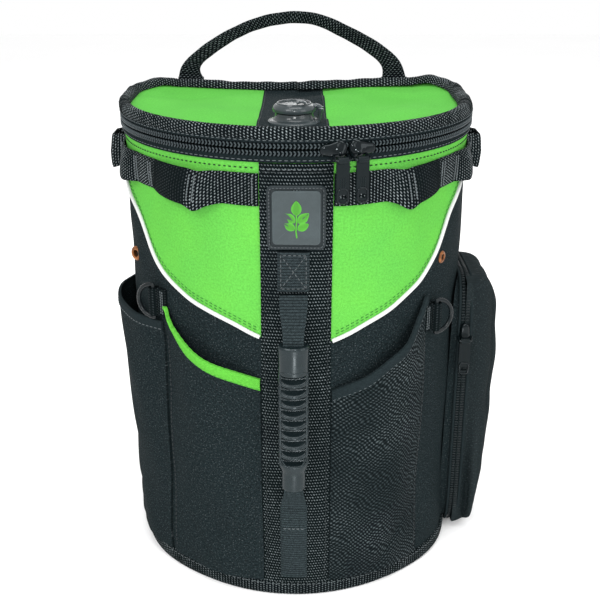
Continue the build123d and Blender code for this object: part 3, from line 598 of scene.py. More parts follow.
COOL = rgb(0.86, 0.96, 1.0)
BLACK = (0.0098, 0.0156, 0.0172)
GREEN = (0.104, 0.430, 0.064)
M = {
    "black": cloth("black_cloth", BLACK, grain=1.0, contrast=0.5, fleck=0.06),
    # The pouch cloth has painted fold shading: darker hollows and lighter ridges.
    "pouch": cloth("fold_shaded_pouch_cloth", BLACK, grain=1.0, contrast=0.5, fleck=0.06, fold_shading=0.024),
    "green": cloth("green_cloth", GREEN, grain=0.24, contrast=0.25, tint=(0.130, 0.47, 0.050)),
    "lid": cloth("lid_cloth", (0.092, 0.385, 0.058), grain=0.18, contrast=0.2,
                 tint=(0.104, 0.41, 0.062)),
    "green_binding": cloth("green_binding", (0.10, 0.42, 0.045), pitch=0.0014, grain=0.25, contrast=0.35),
    "smooth_binding": cloth("smooth_binding", (0.0135, 0.0200, 0.0220), pitch=0.0009, grain=0.35,
                            contrast=0.2),
    "lining": cloth("lining_cloth", (0.06, 0.065, 0.07), pitch=0.0013, grain=0.2, rough=0.6),
    "base": ballistic("base_cloth", (0.009, 0.014, 0.015), (0.04, 0.048, 0.050)),
    "ballistic": ballistic("mesh_cloth", (0.0080, 0.0130, 0.0145), (0.100, 0.122, 0.127)),
    # Each webbing's second colour is the painted highlight on its thread dots.
    "webbing": webbing("black_webbing", (0.0030, 0.0056, 0.0062), (0.230, 0.262, 0.270)),
    "spine_webbing": webbing("spine_webbing_black", (0.0026, 0.0052, 0.0058), (0.150, 0.176, 0.182)),
    # A shaded copy of the webbing, with dimmer glints: painted shade for webbing that lies in shadow.
    "shaded_webbing": webbing("shaded_webbing", (0.0034, 0.0060, 0.0066), (0.034, 0.042, 0.045)),
    "fine_webbing": webbing("fine_webbing", (0.0018, 0.0038, 0.0042), (0.150, 0.176, 0.182), 0.0019,
                            0.0034),
    # The patch webbing's rib grooves carry painted shade.
    "patch": cloth("patch_webbing", (0.026, 0.036, 0.039), pitch=0.0016, grain=0.9, contrast=0.6,
                   rib=0.0021),
    "tape": cloth("zip_tape", (0.0085, 0.0135, 0.0150), pitch=0.0012, grain=0.6, contrast=0.4),
    "coil": plastic("zip_coil", (0.024, 0.032, 0.035), rough=0.3),
    "dark_coil": plastic("pouch_coil", (0.007, 0.010, 0.011), rough=0.4),
    "bed": cloth("zip_bed", (0.0030, 0.0050, 0.0055), pitch=0.0012, grain=0.5, contrast=0.4),
    "gloss": plastic("slider_metal", (0.0020, 0.0036, 0.0042), rough=0.06, grain=0.02, gloss=0.22,
                     Specular_Tint=COOL),
    "pull": plastic("pull_metal", (0.0052, 0.0085, 0.0095), rough=0.32, grain=0.35, gloss=0.1),
    "ring": plastic("ring_metal", (0.006, 0.009, 0.010), rough=0.2, grain=0.08),
    "smoky": plastic("port_plastic", (0.034, 0.044, 0.047), rough=0.14, grain=0.04, gloss=0.35,
                     Transmission_Weight=0.22, IOR=1.46),
    "rubber": plastic("grip_rubber", (0.0062, 0.0105, 0.0118), rough=0.2, grain=0.1, gloss=0.3,
                      Specular_Tint=COOL),
    "label": plastic("label_rubber", (0.040, 0.052, 0.055), rough=0.5, grain=0.3),
    "label_rim": plastic("label_rim_rubber", (0.010, 0.015, 0.017), rough=0.45, grain=0.3),
    "buckle": plastic("buckle_plastic", (0.007, 0.010, 0.011), rough=0.4, grain=0.4, gloss=0.3),
    "board": plastic("stiffener", (0.03, 0.03, 0.032), rough=0.6, gloss=0.5),
    "pad": air_mesh("pad_mesh", (0.016, 0.022, 0.024)),
    "piping": cloth("white_piping", (0.64, 0.65, 0.64), pitch=0.0012, grain=0.06, contrast=0.1, rough=0.6),
    "brass": brass("eyelet_brass"),
    "leaf": plastic("leaf_ink", (0.045, 0.21, 0.018), rough=0.45, grain=0.3),
    "black_thread": thread("black_thread", (0.020, 0.027, 0.029)),
    "grey_thread": thread("grey_thread", (0.105, 0.124, 0.130)),
    "pale_thread": thread("pale_thread", (0.070, 0.082, 0.086)),
    "green_thread": thread("green_thread", (0.035, 0.20, 0.028)),
    "dark_thread": thread("dark_thread", (0.012, 0.045, 0.014)),
}
# ---------------------------------------------------------------- walls and base

def ribs(along, pitch=2.5, height=0.32):
    """Height of webbing's ribs along its length."""
    return height * np.abs(np.sin(PI * along / pitch))


def columns(foot, top, count):
    """Heights of a grid whose columns all start at foot and end at top."""
    foot, top = np.broadcast_arrays(np.asarray(foot, float), np.asarray(top, float))
    return foot[:, None] + (top - foot)[:, None] * np.linspace(0, 1, count)


def seam_at(t):
    """Height of the yoke's V seam at an angle from the front."""
    return seam_z(wall_radius(SEAM_LEVEL) * np.sin(np.radians(t)))


def foot_tuck(t, z):
    """The foot of the wall draws in behind the base binding."""
    return -1.3 * (1 - smooth(z, 0, 9))


def make_front_walls():
    """Black wall below the V seam, green yoke above it, and their stitches."""
    t = spans(-90, 90, 1.25)
    edge = seam_at(t)
    lower = wall_sheet("front_wall", t, columns(WALL_FOOT, edge, 70), foot_tuck, WALL_THICK, M["black"])
    place(lower, "bag", "black_cloth", "lower_body")
    yoke = wall_sheet("yoke", t, columns(edge, YOKE_TOP, 46), 0.02, WALL_THICK, M["green"])
    place(yoke, "bag", "green_cloth", "upper_yoke")
    line = spans(-84, 84, 0.5)
    keep = np.abs(line) > 11.6
    for off in (4.2, 6.4):
        height = seam_at(line) + off
        for part in (keep & (line < 0), keep & (line > 0)):
            sew_wall("bag", "green_thread", line[part], height[part], 0.05, width=0.34)
    for part in (spans(-89, -11.4, 0.5), spans(11.4, 89, 0.5)):
        sew_wall("bag", "dark_thread", part, YOKE_TOP - 4.3, 0.08, length=1.9, gap=2.0, width=0.5)


def loop_t(step, start=90.0):
    """Angles from the right side seam round the back to the left one."""
    run = spans(start, 2 * BACK_T - start, step)
    return np.where(run <= BACK_T, run, run - 2 * BACK_T)


def make_back_wall():
    """Black wall round the sides and the back, raised behind the zip's ends."""
    t = loop_t(1.6)
    top = WALL_TOP + 15.0 * smooth(np.abs(t), 105.2, 107.2)
    back = wall_sheet("back_wall", t, columns(WALL_FOOT, top, 76), foot_tuck, WALL_THICK, M["black"])
    place(back, "bag", "black_cloth", "lower_body")
    for side in (-1, 1):
        for off in (-1.4, 1.4):
            sew_wall("bag", "black_thread", side * (90.0 + off), spans(20, 322, 3), 0.05)


def full_ring(step):
    """Angles all the way round, for pieces that close on themselves."""
    count = int(round(2 * BACK_T / step))
    return np.linspace(-BACK_T, BACK_T, count, endpoint=False)


def make_lining():
    """Lining of the wall and the floor, and the cloth under the base."""
    t = full_ring(3.0)
    lining = wall_sheet("lining_wall", t, np.linspace(8.6, 356, 40),
                        lambda a, z: -4.65 - 0.2 * np.sin(a * 0.9 + z * 0.02), 0.9, M["lining"], wrap=True)
    place(lining, "bag", "lining_cloth", "lining")
    share = np.linspace(0.02, 1, 26)
    centre_y = -22.0
    for name, height, thick, out, material, slot, nodes in (
            ("lining_floor", 9.2, 0.9, -5.0, "lining", "lining_cloth", ()),
            ("base_cover", 1.0, 1.2, -3.0, "base", "base_cloth", ("base_panel",))):
        t2 = np.broadcast_to(t[:, None], (len(t), len(share)))
        x, y, _, _ = plan(t2, wall_radius(5), out + flare(t2, 5))
        px, py = x * share, centre_y + (y - centre_y) * share
        puff = 0.35 * np.sin(px * 0.06) * np.sin(py * 0.05)
        outer = grid(px, py, height + puff * (1 - share**4))
        inner = outer - np.array([0, 0, thick]) * (1 if height > 5 else -1)
        floor = sheet(name, outer, inner, grid(px, py), M[material], wrap=True)
        place(floor, "bag", slot, *nodes)


def make_base_binding():
    """Webbing folded round the foot of the wall."""
    t = full_ring(0.55)
    profile = np.array([(-4.5, 0.25), (-1.0, 0.25), (0.9, 0.7), (1.9, 2.6), (2.1, 6.0), (2.05, 9.5),
                        (1.6, 12.0), (0.5, 12.8)])
    inner = np.array([(-4.5, 0.9), (-1.2, 1.0), (-0.2, 1.5), (0.2, 3.0), (0.25, 6.0), (0.25, 9.5),
                      (0.2, 11.5), (0.1, 12.0)])
    along = round_run(t)
    grids = []
    for line in (profile, inner):
        out = line[:, 0] + flare(t[:, None], line[:, 1])
        if line is profile:
            out[:, 1:-1] += ribs(along, 2.8, 0.35)[:, None] - 0.2
        grids.append(wall(t[:, None], line[:, 1], out, BASE_R))
    uv = grid_uv(run_along(profile), along)
    tape = sheet("base_binding_tape", *grids, uv, M["spine_webbing"], wrap=True)
    place(tape, "bag", "black_webbing", "base_binding")
    line = spans(-BACK_T, BACK_T, 0.8)
    sew_wall("bag", "grey_thread", line, 10.9, 1.95 + flare(line, 10.9), BASE_R, width=0.3)


def make_piping():
    """White cord along the V seam."""
    parts = []
    for side in (-1, 1):
        t = side * spans(11.2, 81.5, 0.6)
        z = seam_at(t)
        keep = z < BAND_LOW
        path = wall(t[keep], z[keep], 0.75)
        parts.append(tube(path, 1.55, sides=12, up=wall_normal(t[keep])))
    place(join("piping_cord", parts, M["piping"], 80), "bag", "white_piping", "piping")


# ---------------------------------------------------------------- spine, label and front handle

def strap_sheet(name, x, z, out, thick, material, crown=0.5, pitch=2.5, lift=0.3):
    """Webbing up the front, with its ribs across and rounded edges."""
    x = np.asarray(x, float)
    edge = np.abs(2 * (x - x[0]) / (x[-1] - x[0]) - 1)
    roll = crown * edge**8
    x2, z2 = np.broadcast_arrays(x[:, None], z)
    face = out + ribs(z2, pitch, lift) * (1 - edge[:, None]**10) - roll[:, None]
    outer = on_front(x2, z2, face)
    inner = on_front(x2, z2, out - thick)
    return sheet(name, outer, inner, grid(x2, z2), material)


def make_spine():
    """Wide webbing up the middle of the front, and its stitches."""
    z = spans(13, 357.4, 0.42)
    spine = strap_sheet("spine_webbing", spans(-25.4, 25.4, 1.7), z, 1.75, 1.6, M["spine_webbing"])
    place(spine, "bag", "black_webbing", "spine_strap")
    for z0, colour in ((353.4, "grey_thread"), (351.6, "black_thread")):
        sew_front(colour, spans(-24, 24, 1), z0, 2.1, length=2.2, gap=1.3, width=0.45)
    for side in (-1, 1):
        sew_front("black_thread", side * 22.6, spans(18, 290, 3), 1.85, width=0.4)


def rounded_loop(half_x, half_z, corner, count=14):
    """Outline of a rounded rectangle, as x, z points."""
    corner = min(corner, half_x, half_z)
    points = []
    for k, (sx, sz) in enumerate(((1, 1), (-1, 1), (-1, -1), (1, -1))):
        for a in np.linspace(0, PI / 2, count):
            a = a + k * PI / 2
            points.append((sx * (half_x - corner) + corner * math.cos(a),
                           sz * (half_z - corner) + corner * math.sin(a)))
    return np.array(points)


def plaque(name, centre, half, corner, steps, material, place_point):
    """Moulded plate from (inset, height) steps in from its outline, closed by a middle face."""
    rings = []
    for inset, height in steps:
        loop = rounded_loop(half[0] - inset, half[1] - inset, max(corner - inset, 0.4)) + np.array(centre)
        rings.append(place_point(loop[:, 0], loop[:, 1], height))
    return ring_mesh(name, rings, material, angle=35)


def make_label():
    """Rubber label with a raised rim and a leaf sprig."""
    on_spine = lambda x, z, h: on_front(x, z, 2.15 + h)
    middle, half = (0, 319.3), (20.5, 23.2)
    steps = ((0.5, -0.3), (0, 0.2), (0.1, 1.0), (0.6, 1.4), (2.4, 1.4), (2.8, 0.8), (3.9, 0.8), (4.6, 0.6))
    rim = plaque("label_rim", middle, half, 4.2, steps, M["label_rim"], on_spine)
    place(rim, "bag", "label_rubber")
    steps = ((0.4, 0.4), (0, 0.8), (0.3, 1.2), *((inset, 1.3) for inset in (1.2, 4, 7, 10, 13, 15.4)))
    label = plaque("label_plate", middle, (half[0] - 3.7, half[1] - 3.7), 3.2, steps, M["label"], on_spine)
    place(label, "bag", "label_rubber", "label_patch")
    loop = rounded_loop(half[0] - 1.7, half[1] - 1.7, 3.0)
    loop = np.vstack([loop, loop[:1]]) + np.array(middle)
    sew_front("pale_thread", loop[:, 0], loop[:, 1], 3.55, length=1.6, gap=0.9, width=0.36)
    parts = [leaf((0, 321), 90, 11.0, 3.6)]
    for side in (-1, 1):
        parts.append(leaf((side * 1.0, 316.0), 90 - side * 48, 10.5, 3.3))
        parts.append(leaf((side * 0.8, 311.0), 90 - side * 62, 9.0, 2.9))
    stem = np.array([(0, 322), (0.2, 316), (-0.2, 310), (0.4, 305)])
    parts.append(tube(on_front(stem[:, 0], stem[:, 1], 3.4), 0.55, sides=8, up=(0, -1, 0)))
    place(join("leaf_sprig", parts, M["leaf"], 40), "bag", "label_rubber")


def leaf(root, angle, length, half):
    """Raised leaf with a folded midrib."""
    s = np.linspace(0, 1, 15)
    width = half * np.sin(PI * s**0.85)**0.8
    across = np.array([-1, -0.5, 0, 0.5, 1])
    a = math.radians(angle)
    along = np.array((math.cos(a), math.sin(a)))
    side = np.array((-along[1], along[0]))
    spread = width[:, None] * across
    x, z = (np.array(root)[:, None, None] + along[:, None, None] * length * s[:, None]
            + side[:, None, None] * spread)
    raised = 3.3 + 0.45 * (1 - np.abs(across) * 0.5) - 0.25 * (across == 0)
    top = on_front(x, z, raised)
    low = on_front(x, z, 3.1)
    index = np.arange(75).reshape(15, 5)
    faces = [tuple(f) for f in quads(index)] + [tuple(f[::-1] + 75) for f in quads(index)]
    for column in (0, 4):
        for i in range(14):
            a, b = index[i, column], index[i + 1, column]
            faces.append((a, b, b + 75, a + 75))
    return np.concatenate([top.reshape(-1, 3), low.reshape(-1, 3)]), faces, np.zeros((150, 2))


def crossed_box(x0, x1, z0, z1):
    """A box and the cross in it, as two lines of x, z points."""
    box = [(x0, z0), (x1, z0), (x1, z1), (x0, z1), (x0, z0), (x1, z1)]
    for path in (box, [(x1, z0), (x0, z1)]):
        yield np.concatenate([np.linspace(a, b, 12) for a, b in zip(path[:-1], path[1:])]).T


def make_handle_patches():
    """Webbing patches that hold the front grip at each end."""
    for name, z0, z1, half, node in (("patch_upper", 265, 294.5, 11.4, "handle_patch_upper"),
                                     ("patch_lower", 20, 88, 10.4, "handle_patch_lower")):
        x = spans(GRIP_X - half, GRIP_X + half, 1.2)
        patch = strap_sheet(name, x, spans(z0, z1, 0.5), 4.0 if z0 > 100 else 3.9, 1.8, M["patch"],
                            crown=1.2, pitch=2.1, lift=0.26)
        place(patch, "bag", "black_webbing", node)
    for x, z in crossed_box(GRIP_X - 9, GRIP_X + 9, 267.5, 292.2):
        sew_front("pale_thread", x, z, 4.15, length=2.3, gap=1.2, width=0.42)
    for z in (86.0, 66.5):
        x = spans(GRIP_X - 8.6, GRIP_X + 8.6, 1)
        sew_front("grey_thread", x, z, 4.0, length=2.2, gap=1.2, width=0.45)


def make_grip():
    """Ribbed rubber sleeve, and the raised rim round its ribs."""
    around = np.linspace(0, 2 * PI, 64, endpoint=False)
    z2, a2 = np.meshgrid(spans(GRIP_LOW, GRIP_HIGH, 0.55), around, indexing="ij")
    neck = 1 - smooth(z2, 126, 134)
    collar = smooth(z2, 214, 229)
    tip = smooth(z2, GRIP_HIGH - 1.3, GRIP_HIGH)
    half = 10.9 - 2.0 * neck + 0.5 * collar - 0.9 * tip - 0.9 * (1 - smooth(z2, GRIP_LOW, GRIP_LOW + 1.2))
    deep = 7.1 - 1.0 * neck + 0.3 * collar - 0.8 * tip
    facing = np.clip(-np.sin(a2), 0, 1)
    window = smooth(z2, 133, 136) * (1 - smooth(z2, 207, 209))
    groove = (0.5 - 0.5 * np.cos(2 * PI * (z2 - 135 + 2.6 * facing) / 8.4))**1.1
    deep -= 5.6 * window * groove * smooth(facing, 0.2, 0.6)
    half += 0.35 * window * (1 - groove)
    rings = grid(GRIP_X + half * np.cos(a2), GRIP_Y + deep * np.sin(a2), z2)
    place(ring_mesh("grip_sleeve_ribbed", rings, M["rubber"]), "front_grip", "grip_rubber", "grip_sleeve")
    s = np.linspace(-1, 1, 25)
    low = 133.2 + 7.5 * np.abs(s)**3
    side_z = np.linspace(142, 209.5, 30)
    top = 210.6 - 1.2 * np.abs(s)**6
    across = np.concatenate([s, np.full(30, 1.0), s[::-1], np.full(30, -1.0)])
    up = np.concatenate([low, side_z, top, side_z[::-1]])
    face = GRIP_Y + 0.15 - 7.15 * np.sqrt(1 - (0.87 * across)**2)
    rim = grid(GRIP_X + 9.5 * across, face, up)
    rim, _ = resample(np.vstack([rim, rim[:1]]), 1.0)
    outline = tube_object("grip_rim", rim, 0.5, M["rubber"], sides=8, up=(0, -1, 0), close=True)
    place(outline, "front_grip", "grip_rubber")


def make_grip_straps():
    """Webbing from each patch into the sleeve."""
    cross = np.linspace(-1, 1, 15)
    crown = 0.3 * (1 - np.abs(cross)**3)
    for name, ends, width, taper, start, node in (
            ("grip_strap_top", (264.0, 229.8), 9.9, 2.5, 0.15, "grip_strap_upper"),
            ("grip_strap_foot", (89.0, 112.2), 9.4, 2.2, 0.2, "grip_strap_lower")):
        z = spans(*ends, 0.6)
        share = np.linspace(0, 1, len(z))
        half = width - taper * smooth(share, start, 0.9)
        y_out = -144.1 - 9.7 * smooth(share, 0.0, 1.0)
        thick = 1.8 + 3.4 * smooth(share, 0.3, 1)
        x2 = GRIP_X + half[:, None] * cross
        front = y_out[:, None] - crown + 0.9 - ribs(z, 2.1, 0.28)[:, None]
        z2 = z[:, None]
        outer = grid(x2, front, z2)
        inner = grid(x2, front + thick[:, None] * (1 - 0.5 * np.abs(cross)**4), z2)
        strap = sheet(name, outer, inner, grid(x2, z2), M["patch"])
        place(strap, "front_grip", "black_webbing", node)


# ---------------------------------------------------------------- main zip

def chevrons(row_z):
    """Zip teeth in one row, each a pair of slanted strokes."""
    parts = []
    pitch = math.degrees(2.7 / ZIP_R)
    radius = 0.62 * np.array([0.45, 0.95, 1, 0.95, 0.45])
    for t in np.arange(-ZIP_T + 0.5, ZIP_T - 0.5, pitch):
        for low in (-TOOTH, 0.0):
            rise = low + TOOTH * np.linspace(0, 1, 5)
            turn = t + pitch * 0.52 * (1 - np.abs(rise) / TOOTH)
            parts.append(tube(wall(turn, row_z + rise, 1.0, ZIP_R), radius, sides=6, up=wall_normal(t)))
    return parts


def make_zip():
    """Tapes, beds and teeth of the main zip, and the gusset above it."""
    t = spans(-ZIP_T, ZIP_T, 0.9)
    rows = {
        "zip_tape_low": (357.9, 366.4, 0.0, 1.1, "tape", "bag", "zip_tape", "zip_tape_lower"),
        "zip_bed_low": (362.7, 366.5, 0.6, 0.5, "bed", "bag", "zip_coil", "zip_coil_lower"),
        "zip_tape_high": (367.5, 376.4, 0.0, 1.1, "tape", "lid", "zip_tape", "zip_tape_upper"),
        "zip_bed_high": (367.5, 371.3, 0.6, 0.5, "bed", "lid", "zip_coil", "zip_coil_upper"),
        "zip_gusset": (371.7, 376.5, 1.35, 1.1, "tape", "lid", "zip_tape", "lid_gusset"),
    }
    for name, (low, high, out, thick, material, body, slot, node) in rows.items():
        z = np.linspace(low, high, 9)
        share = np.abs(2 * (z - low) / (high - low) - 1)
        band = wall_sheet(name, t, z, out - 0.35 * share**6, thick, M[material], ZIP_R)
        place(band, body, slot, node)
    line = spans(-ZIP_T + 1, ZIP_T - 1, 0.5)
    for name, row, body, sewn, out in (("low", ZIP_Z - 2.4, "bag", 359.6, 0.05),
                                       ("high", ZIP_Z + 2.4, "lid", 373.4, 1.42)):
        place(join(f"zip_teeth_{name}", chevrons(row), M["coil"], 60), body, "zip_coil")
        sew_wall(body, "grey_thread", line, sewn, out, ZIP_R, width=0.3)


def slider_form(along, cross, width, dome, power):
    """Half width of a slider's body along its length, and the height of its domed face."""
    half = width * np.sqrt(np.clip(1 - np.abs(along / 9.7)**5, 0.02, 1))
    face = dome * (1 - np.abs(cross)[None, :]**power)**0.55 * (1 - np.abs(along / 9.6)**8)[:, None]**0.5
    return half, face


def make_slider(side, angle, bail_angle, nose):
    """Glossy winged slider body with a crown under its bail, and a plain back plate."""
    x = np.linspace(-9.5, 9.5, 39)
    cross = np.linspace(-1, 1, 17)
    run = x * nose
    half, dome = slider_form(x, cross, 4.2 + 2.0 * smooth(run, -5, 4), 2.4, 3.2)
    z = ZIP_Z + half[:, None] * cross
    t = angle + np.degrees(x / SLIDER_R)[:, None]
    bail_x = math.radians(bail_angle - angle) * SLIDER_R
    crown = 2.2 * np.exp(-((x[:, None] - bail_x)**2 + (z - 364.8)**2) / 13)
    notch = np.exp(-((run[:, None] - 4.5)**2) / 3) * np.exp(-(z - 371.2)**2 / 5)
    uv = np.zeros(z.shape + (2,))
    back = -2.0 - 1.1 * (1 - np.abs(cross)[None, :]**4)
    for name, high, low, nodes in (("body", 2.15 + dome + crown - notch, 2.1, (f"slider_{side}",)),
                                   ("back", -1.75, back, ())):
        outer, inner = wall(t, z, high, ZIP_R), wall(t, z, low, ZIP_R)
        plate = sheet(f"slider_{side}_{name}", outer, inner, uv, M["gloss"], angle=55)
        place(plate, f"slider_{side}", "slider_metal", *nodes)
    arm = [(-5.1, 141.2, 363.6), (-5.1, 144, 363.2), (-5.1, 147.4, 362.2), (-4.9, 149.0, 361.6),
           (-4.2, 149.4, 361.5), (0, 149.4, 361.5)]
    arm += [(-x, y, z) for x, y, z in arm[-2::-1]]
    a = math.radians(bail_angle)
    out, along = np.array((math.sin(a), -math.cos(a), 0)), np.array((math.cos(a), math.sin(a), 0))
    frame_axes = np.array((along, out, (0, 0, 1)))
    bail = tube_object(f"slider_{side}_bail", np.array(arm) @ frame_axes, 0.98, M["gloss"], sides=12)
    place(bail, f"slider_{side}", "slider_metal")
    loop = rounded_loop(3.5, 5.0, 2.6, 8)
    foot = grid(loop[:, 0], 150.35, 337.4 + loop[:, 1]) @ frame_axes
    ring = tube_object(f"pull_{side}_foot", foot, 0.75, M["gloss"], sides=8, up=out, close=True)
    place(ring, f"pull_{side}", "pull_metal")
    ridges = []
    for k in (-1.6, 0, 1.6):
        path = np.linspace((k, 150.3, 342.6), (k, 150.3, 349.5), 6) @ frame_axes
        ridges.append(tube(path, 0.42, sides=8, up=out))
    place(join(f"pull_{side}_ridges", ridges, M["pull"], 60), f"pull_{side}", "pull_metal")


def keep_cad(node, material, width=0.35):
    """A CAD node whose shape is right gets a material and rounded edges."""
    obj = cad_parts[node]
    obj.data.materials.clear()
    obj.data.materials.append(M[material])
    weld = obj.modifiers.new("weld", "WELD")
    weld.merge_threshold = 1e-5
    bevel = obj.modifiers.new("bevel", "BEVEL")
    bevel.width = width * MM
    bevel.segments = 3
    bevel.limit_method = "ANGLE"
    bevel.angle_limit = math.radians(38)
    bevel.use_clamp_overlap = True
    finish_shading(obj, 50)


# ---------------------------------------------------------------- lid

def rim_distance(x, y):
    """How far a lid point lies in from its edge."""
    side_x, side_y = np.abs(x) - (LID_R - CORNER), y - (LID_BACK - CORNER)
    rear = np.where((side_x > 0) & (side_y > 0), CORNER - np.hypot(side_x, side_y),
                    np.minimum(LID_R - np.abs(x), LID_BACK - y))
    return np.clip(np.where(y < 0, LID_R - np.hypot(x, y), rear), 0, 200)


def rear_wave(x):
    """Uneven height of the rear rim from left to right."""
    return np.interp(x, (-136, -118, -104, -60, -25, 10, 45, 75, 100, 120, 136),
                     (1.0, 2.0, -0.2, -2.6, -3.8, -2.6, -0.8, 0.3, 1.0, 4.6, 3.8))


def rear_lift(x, y):
    """The rear rim's unevenness, fading towards the front of the lid."""
    return rear_wave(x) * smooth(y, 10, LID_BACK)


def lid_height(x, y):
    """Top of the lid cloth, dished below its rim and soft in the middle."""
    deep = 4.6 * (1 - np.exp(-rim_distance(x, y) / 14))
    soft = 2.3 * np.sin(0.045 * x + 0.9) * np.sin(0.06 * y + 0.4) + 1.3 * np.sin(0.075 * x - 0.04 * y + 0.5)
    soft += 1.8 * np.exp(-((x * 0.5 + y - 95) / 9)**2) * (x > 0)
    soft -= 1.5 * np.exp(-((x * 0.4 - y + 78) / 9)**2) * (x < 0)
    soft *= 1 - np.exp(-rim_distance(x, y) / 20)
    near_port = 1 - smooth(np.hypot(x - PORT[0], y - PORT[1]), 20, 46)
    return 376.45 - (deep - soft) * (1 - near_port) + rear_lift(x, y)


def make_lid_panel(name, x_range, material, slot, node, thick=2.4, lift=0.0):
    """Panel of the lid between two x; an outer panel's columns close up towards its rounded edge."""
    low, high = x_range
    x = np.linspace(low, high, 64)
    finer = np.sin(np.linspace(0, PI / 2, 64))
    if low < -100:
        x = high - (high - low) * finer[::-1]
    elif high > 100:
        x = low + (high - low) * finer
    front = -np.sqrt(np.clip(LID_R**2 - x**2, 0, None))
    past = np.clip(np.abs(x) - (LID_R - CORNER), 0, CORNER)
    back = STRAIGHT + np.sqrt(np.clip(CORNER**2 - past**2, 0, None)) - 1.8
    share = 0.5 - 0.5 * np.cos(np.linspace(0, PI, 72))
    y = front[:, None] + (back - front)[:, None] * share
    x2 = x[:, None]
    z = lid_height(x2, y) + lift
    outer, inner = grid(x2, y, z), grid(x2, y, z - thick)
    panel = sheet(name, outer, inner, grid(x2, y), M[material])
    return place(panel, "lid", slot, node)


def cut_hole(obj, centre, radius):
    """A round hole through a lid panel, with its rim drawn to the circle."""
    work = bmesh.new()
    work.from_mesh(obj.data)
    cx, cy = centre[0] * MM, centre[1] * MM
    reach = radius * MM
    near = [f for f in work.faces
            if math.hypot(f.calc_center_median().x - cx, f.calc_center_median().y - cy) < reach]
    bmesh.ops.delete(work, geom=near, context="FACES")
    rim = {v for e in work.edges if e.is_boundary for v in e.verts}
    for vert in rim:
        away = Vector((vert.co.x - cx, vert.co.y - cy, 0))
        away.length = reach * 1.08
        vert.co.x, vert.co.y = cx + away.x, cy + away.y
    edges = [e for e in work.edges if e.is_boundary]
    bmesh.ops.bridge_loops(work, edges=edges)
    bmesh.ops.recalc_face_normals(work, faces=work.faces)
    work.to_mesh(obj.data)
    work.free()
    finish_shading(obj, 40)


def make_lid():
    """Two green panels and the black strip between them."""
    make_lid_panel("lid_cloth_left", (-135.9, -27.6), "lid", "lid_cloth", "lid_panel_left")
    make_lid_panel("lid_cloth_right", (22.6, 135.9), "lid", "lid_cloth", "lid_panel_right")
    strip = make_lid_panel("lid_strip", (-28.2, 23.2), "black", "black_cloth", "lid_center_strip",
                           thick=2.6, lift=0.35)
    cut_hole(strip, PORT, 10.6)
    for x in (-26.6, 21.6):
        y = spans(-131, 72, 1.5)
        line = grid(x, y, lid_height(x, y) + 0.42)
        sew("lid", "black_thread", line, (0, 0, 1), width=0.4)
    make_rim_binding()


def make_rim_binding():
    """Webbing folded over the lid's edge, ribbed and a little wrinkled."""
    t = full_ring(0.5)
    profile = np.array([(1.5, 374.2), (2.15, 376.2), (2.3, 378.6), (1.8, 380.6), (0.5, 381.9),
                        (-1.8, 382.2), (-4.2, 381.4), (-5.6, 379.4), (-5.9, 376.4)])
    inner = np.array([(1.42, 374.6), (1.45, 375.5), (1.2, 376.7), (0.4, 376.9), (0, 377), (-1.4, 376.8),
                      (-3.0, 376.4), (-4.2, 375.9), (-5.2, 375.6)])
    along = round_run(t)
    x, y, _, _ = plan(t, ZIP_R, 0.0)
    rear = rear_lift(x, y)[:, None]
    wrinkle = (0.6 * np.sin(t * 0.31 + 1) + 0.45 * np.sin(t * 0.73))[:, None] * smooth(y, -40, 40)[:, None]
    grids = []
    for line in (profile, inner):
        out = np.broadcast_to(line[:, 0], (len(t), 9)).copy()
        lift = np.zeros_like(out)
        if line is profile:
            swell = ribs(along, 2.6, 0.42)[:, None] - 0.15
            out[:, :5] += swell * np.array([0.3, 1, 1, 0.8, 0.5])
            lift[:, 3:8] += swell * np.array([0.3, 0.7, 1, 0.8, 0.3])
            lift[:, 2:8] += 0.6 * wrinkle
            tuck = smooth(np.abs(t), 45, 85) * (1 + 3.0 * smooth(t, 20, 90))
            out[:, 1:] -= tuck[:, None] * np.linspace(0.4, 1.3, 8)
        grids.append(wall(t[:, None], line[:, 1] + rear + lift, out, ZIP_R))
    binding = sheet("rim_binding", *grids, grid_uv(run_along(profile), along), M["webbing"], wrap=True)
    place(binding, "lid", "black_webbing", "lid_binding")


